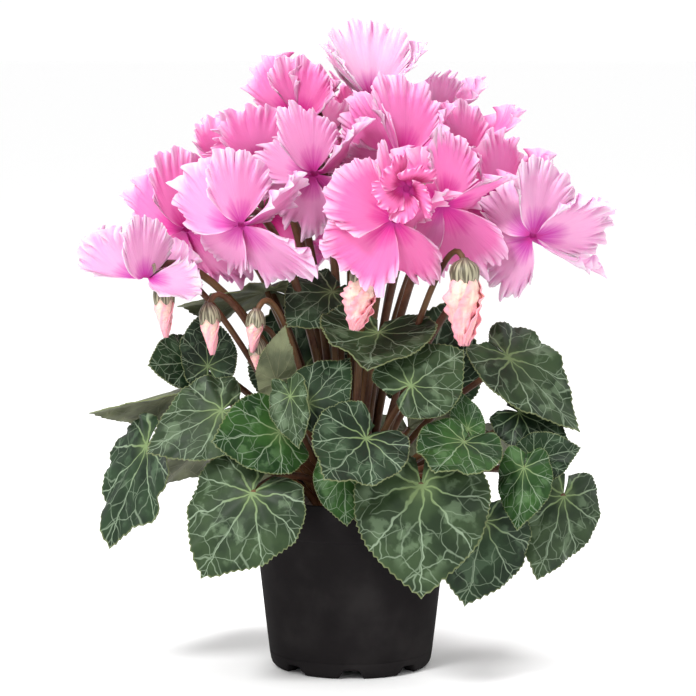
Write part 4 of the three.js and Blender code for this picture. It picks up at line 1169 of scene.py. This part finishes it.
def add_bud_cup(shape, bud):
    """The green cup: five sepals that hug the rolled petals and end in points."""
    first = len(shape.faces)
    verts, across, along = add_grid(shape, *CUP_GRID)
    turn = math.pi * across
    point = np.abs(np.cos(PETALS / 2 * turn))
    share = 0.2 + 0.18 * (1 - bud["frill"])
    depth = CUP_START + (share * bud["length"] * (0.6 + 0.4 * point**1.5) + 4) * along
    girth = bud["radius"] * (1 - OPEN_SLIMNESS * bud["frill"]) - CUP_LIP
    body = CUP_NECK + girth * np.interp(depth, *zip(*CUP_GIRTH))
    points = bud_points(bud, turn, depth, body + 0.3 * np.cos(PETALS * turn) * along)
    lay(shape, verts, points, np.column_stack([across * 2, along, np.zeros_like(along)]))
    use_second_material(shape, first)


def make_bud(bud, number, materials):
    shape = new_shape()
    add_bud_petals(shape, bud, number)
    close_seam(shape)
    add_bud_cup(shape, bud)
    close_seam(shape)
    sharpen_margin(shape)
    name = f"bud_{number + 1:02d}"
    piece = add_piece("dressed_" + name, shape, [materials["bud"], materials["sepal"]], "bud", name)
    make_thick(piece, PETAL_THICKNESS)


# Crowded pieces bend clear of each other, as the solids do, and each keeps the walls that it was bent by
def wall_directions():
    i = np.arange(WALL_DIRECTIONS)
    z = 1 - (i + 0.5) / WALL_DIRECTIONS
    r = np.sqrt(1 - z * z)
    return np.column_stack([r * np.cos(i * GOLDEN_ANGLE), r * np.sin(i * GOLDEN_ANGLE), z])


def ease_back(points, walls):
    for direction, wall in walls:
        inside = wall - points @ direction
        eased = (inside + np.hypot(inside, BEND_SOFTNESS)) / 2
        points = points + np.outer(inside - eased, direction)
    return points


def least_overlap(a, b, directions):
    between = unit(b["points"].mean(axis=0) - a["points"].mean(axis=0))
    every = np.vstack([between, directions])
    reach_a = a["points"] @ every.T
    reach_b = b["points"] @ every.T
    forward = reach_a.max(axis=0) - reach_b.min(axis=0)
    backward = reach_b.max(axis=0) - reach_a.min(axis=0)
    best = int(np.argmin(np.column_stack([forward, backward]).ravel()))
    column = best // 2
    if best % 2:
        return backward[column], -every[column], -reach_a[:, column].min(), -reach_b[:, column].max()
    return forward[column], every[column], reach_a[:, column].max(), reach_b[:, column].min()


def bend_piece(piece, direction, wall):
    piece["points"] = ease_back(piece["points"], [(direction, wall)])
    piece["walls"].append((direction, wall))


def bend_clear(pieces):
    directions = wall_directions()
    pairs = [(a, b) for i, a in enumerate(pieces) for b in pieces[i + 1:] if not (a["firm"] and b["firm"])]
    for _ in range(BEND_ROUNDS):
        for a, b in pairs:
            overlap, direction, top, bottom = least_overlap(a, b, directions)
            if overlap < -CROWDED_GAP:
                continue
            middle = (top + bottom) / 2
            if a["firm"]:
                middle = top + PIECE_GAP / 2
            if b["firm"]:
                middle = bottom - PIECE_GAP / 2
            if not a["firm"]:
                bend_piece(a, direction, middle - PIECE_GAP / 2)
            if not b["firm"]:
                bend_piece(b, -direction, -middle - PIECE_GAP / 2)


def solid_piece(points, firm=False):
    return {"points": points, "firm": firm, "walls": []}


def pot_radius(z):
    return POT_TOP_RADIUS - POT_TAPER * (POT_HEIGHT - z)


def pot_samples():
    """Points round the pot's rim and foot, which the leaves and blooms bend clear of."""
    turn = np.arange(POT_CORNERS) * math.tau / POT_CORNERS
    flat = np.column_stack([np.cos(turn), np.sin(turn)])
    circles = [(POT_TOP_RADIUS + 2, POT_HEIGHT + 1), (pot_radius(0), 0)]
    return np.vstack([np.column_stack([r * flat, np.full(POT_CORNERS, z)]) for r, z in circles])


# Stalks
def stalk_to(end, kind, guide):
    """The four points of a stalk's curve: its root on the corm's crown, two that lead it, and its end."""
    flat = math.hypot(end[0], end[1])
    share = kind["ring"] / flat + CROWN_SPREAD
    root = np.array([share * end[0], share * end[1], STALK_ROOT])
    lift = max(LEAF_LEAST_LIFT, kind["lift"] * (end[2] - root[2]))
    knee = np.array([root[0] + kind["lean"] * end[0], root[1] + kind["lean"] * end[1], root[2] + lift])
    return root, knee, guide, end


def bloom_stalk(bloom, points):
    mouth = bloom_frame(bloom)[0]
    end = points[0] - BLOOM_SEAT * mouth
    rise = end[2] - STALK_ROOT
    inward = np.array([-NECK_INWARD * end[0], -NECK_INWARD * end[1], -NECK_DROP * rise])
    return stalk_to(end, BLOOM_STALK, end - NECK_SHARE * rise * mouth + inward)


def leaf_stalk(points):
    """A leaf's stalk comes square to the triangles round the blade's first point."""
    fan = points[1:LEAF_SPANS + 2] - points[0]
    up = unit(np.cross(fan[:-1], fan[1:]).sum(axis=0))
    end = points[0]
    guide = end - ELBOW_SHARE * math.hypot(end[0], end[1]) * up
    guide[2] = max(guide[2], POT_HEIGHT + ELBOW_CLEARANCE)
    return stalk_to(end, LEAF_STALK, guide)


def bud_stalk(bud):
    down = bud_axes(bud)[0]
    top = np.array(bud["top"], float)
    inward = unit((-top[0], -top[1], 0))
    return stalk_to(top + down, BUD_STALK, top - HOOK_HEIGHT * down + HOOK_INWARD * inward)


def make_stalks(name, stalks, kind, material):
    """Round stalks along their curves, as one mesh. Their bevel is 1 mm, so a radius stays in millimetres."""
    curve = bpy.data.curves.new(name, "CURVE")
    curve.dimensions = "3D"
    curve.bevel_depth = MM
    curve.bevel_resolution = 2
    curve.resolution_u = 18
    curve.use_fill_caps = True
    for root, knee, guide, end in stalks:
        spline = curve.splines.new("BEZIER")
        spline.bezier_points.add(1)
        first = (2 * root - knee, root, knee, ROOT_SWELL)
        last = (guide, end, 2 * end - guide, kind["taper"])
        for point, (before, place, after, share) in zip(spline.bezier_points, (first, last)):
            point.co = place * MM
            point.handle_left = before * MM
            point.handle_right = after * MM
            point.radius = kind["radius"] * share
    holder = bpy.data.objects.new(name, curve)
    bpy.context.scene.collection.objects.link(holder)
    bpy.context.view_layer.update()
    finished = holder.evaluated_get(bpy.context.evaluated_depsgraph_get())
    mesh = bpy.data.meshes.new_from_object(finished)
    shape = bmesh.new()
    shape.from_mesh(mesh)
    bpy.data.objects.remove(holder)
    bpy.data.meshes.remove(mesh)
    bpy.data.curves.remove(curve)
    add_piece(name, shape, [material], "stalk", "corm_and_stalks")


# Pot, soil and corm
def make_pot(material):
    """The pot's wall and floor in one turn, with rounded edges. The foot is then lifted at the notches."""
    rim = POT_HEIGHT - RIM_HEIGHT
    floor = FLOOR_RISE + POT_WALL
    foot = pot_radius(FOOT_HEIGHT)
    profile = [
        (0, 0),
        (CENTRE_PAD_RADIUS, 0),
        (CENTRE_PAD_RADIUS + 0.6, 0.3),
        (CENTRE_PAD_RADIUS + 3, FLOOR_RISE),
        (FOOT_INNER_RADIUS - 2, FLOOR_RISE),
        (FOOT_INNER_RADIUS - 0.4, 0.4),
        (FOOT_INNER_RADIUS + 0.3, 0),
        (foot - 3.8, 0),
        (foot - 2.6, 0.6),
        (foot - 1.2, 2.4),
        (foot - 0.5, 4.6),
        (foot, FOOT_HEIGHT),
        (pot_radius(GROOVE_HEIGHT - GROOVE_HALF_WIDTH), GROOVE_HEIGHT - GROOVE_HALF_WIDTH),
        (pot_radius(GROOVE_HEIGHT) - GROOVE_DEPTH, GROOVE_HEIGHT),
        (pot_radius(GROOVE_HEIGHT + GROOVE_HALF_WIDTH), GROOVE_HEIGHT + GROOVE_HALF_WIDTH),
        *[(pot_radius(z) - inward, z) for z, inward in WALL_HOLLOW],
        (pot_radius(rim) - RIM_STEP, rim - 0.4),
        (pot_radius(rim) - RIM_STEP + 0.2, rim + 0.1),
        (pot_radius(rim) - 0.3, rim + 0.6),
        (pot_radius(rim), rim + 1.4),
        (POT_TOP_RADIUS - 0.1, POT_HEIGHT - 0.9),
        (POT_TOP_RADIUS - 0.4, POT_HEIGHT - 0.2),
        (POT_TOP_RADIUS - 0.7, POT_HEIGHT),
        (POT_TOP_RADIUS - POT_WALL + 0.2, POT_HEIGHT - 0.2),
        (POT_TOP_RADIUS - POT_WALL, POT_HEIGHT - 0.9),
        (pot_radius(rim) - RIM_STEP - POT_WALL, rim),
        (foot - POT_WALL, FOOT_HEIGHT),
        (foot - POT_WALL - 3, floor),
        (0, floor),
    ]
    shape = spun(profile, POT_STEPS)
    for vert in shape.verts:
        r = math.hypot(vert.co.x, vert.co.y) / MM
        if r < FOOT_INNER_RADIUS - 1 or vert.co.z >= NOTCH_HEIGHT * MM:
            continue
        turn = math.atan2(vert.co.y, vert.co.x)
        spacing = math.tau / FOOT_NOTCHES
        from_middle = abs((turn + spacing / 2) % spacing - spacing / 2) * r
        slope = (NOTCH_FOOT / 2 - from_middle) / ((NOTCH_FOOT - NOTCH_TOP) / 2)
        vert.co.z = max(vert.co.z, NOTCH_HEIGHT * MM * min(1, max(0, slope)))
    add_piece("dressed_pot", shape, [material], "pot", "pot")


def make_soil(material):
    """Soil that fills the pot, with a crumbly top."""
    rim = POT_HEIGHT - RIM_HEIGHT
    side = POT_WALL + SEAT_GAP
    foot = pot_radius(FOOT_HEIGHT) - side
    edge = pot_radius(SOIL_LEVEL) - RIM_STEP - side
    top = [(edge * i / SOIL_RINGS, SOIL_LEVEL) for i in range(SOIL_RINGS, -1, -1)]
    profile = [
        (0, FLOOR_RISE + side),
        (foot - 3, FLOOR_RISE + side),
        (foot, FOOT_HEIGHT),
        (pot_radius(rim) - RIM_STEP - side, rim),
        *top,
    ]
    shape = spun(profile, SOIL_STEPS)
    rng = np.random.default_rng(SOIL_SEED)
    for vert in shape.verts:
        if vert.co.z > (SOIL_LEVEL - 1) * MM:
            vert.co.z += rng.uniform(*CRUMBS) * MM
    add_piece("dressed_soil", shape, [material], "soil", "soil")


def make_corm(material):
    """The knobbly corm, which is sunk in the soil up to its crown."""
    shape = spun([(share * CORM_RADIUS, CORM_MIDDLE + z) for share, z in CORM_SIDE], CORM_STEPS)
    bmesh.ops.subdivide_edges(shape, edges=shape.edges, cuts=1, use_grid_fill=True)
    rng = np.random.default_rng(CORM_SEED)
    for vert in shape.verts:
        flat = Vector((vert.co.x, vert.co.y, 0))
        vert.co -= flat * rng.uniform(0, CORM_KNOBS)
    add_piece("corm", shape, [material], "stalk", "corm_and_stalks")


def make_plant():
    leaf_pieces = [solid_piece(leaf_samples(leaf, i)) for i, leaf in enumerate(LEAVES)]
    bloom_pieces = [solid_piece(bloom_samples(bloom, i)) for i, bloom in enumerate(BLOOMS)]
    bud_pieces = [solid_piece(bud_samples(bud), True) for bud in BUDS]
    bend_clear([solid_piece(pot_samples(), True), *bud_pieces, *bloom_pieces, *leaf_pieces])

    materials = {tone: leaf_material(tone) for tone in LEAF_TONES}
    materials["underside"] = leaf_underside()
    for i, (leaf, piece) in enumerate(zip(LEAVES, leaf_pieces)):
        make_leaf(leaf, i, piece["walls"], materials)

    materials = {tone: petal_material(tone) for tone in PETAL_TONES}
    materials["sepal"] = sepal_material()
    materials["bud"] = bud_material()
    for i, (bloom, piece) in enumerate(zip(BLOOMS, bloom_pieces)):
        make_bloom(bloom, i, piece["walls"], materials)
    for i, bud in enumerate(BUDS):
        make_bud(bud, i, materials)

    stalk = stalk_material()
    bloom_stalks = [bloom_stalk(bloom, piece["points"]) for bloom, piece in zip(BLOOMS, bloom_pieces)]
    make_stalks("bloom_stalks", bloom_stalks, BLOOM_STALK, stalk)
    make_stalks("leaf_stalks", [leaf_stalk(piece["points"]) for piece in leaf_pieces], LEAF_STALK, stalk)
    make_stalks("bud_stalks", [bud_stalk(bud) for bud in BUDS], BUD_STALK, stalk)


make_camera()
make_studio()
make_pot(pot_material())
make_soil(soil_material())
make_corm(corm_material())
make_plant()

bpy.context.view_layer.update()
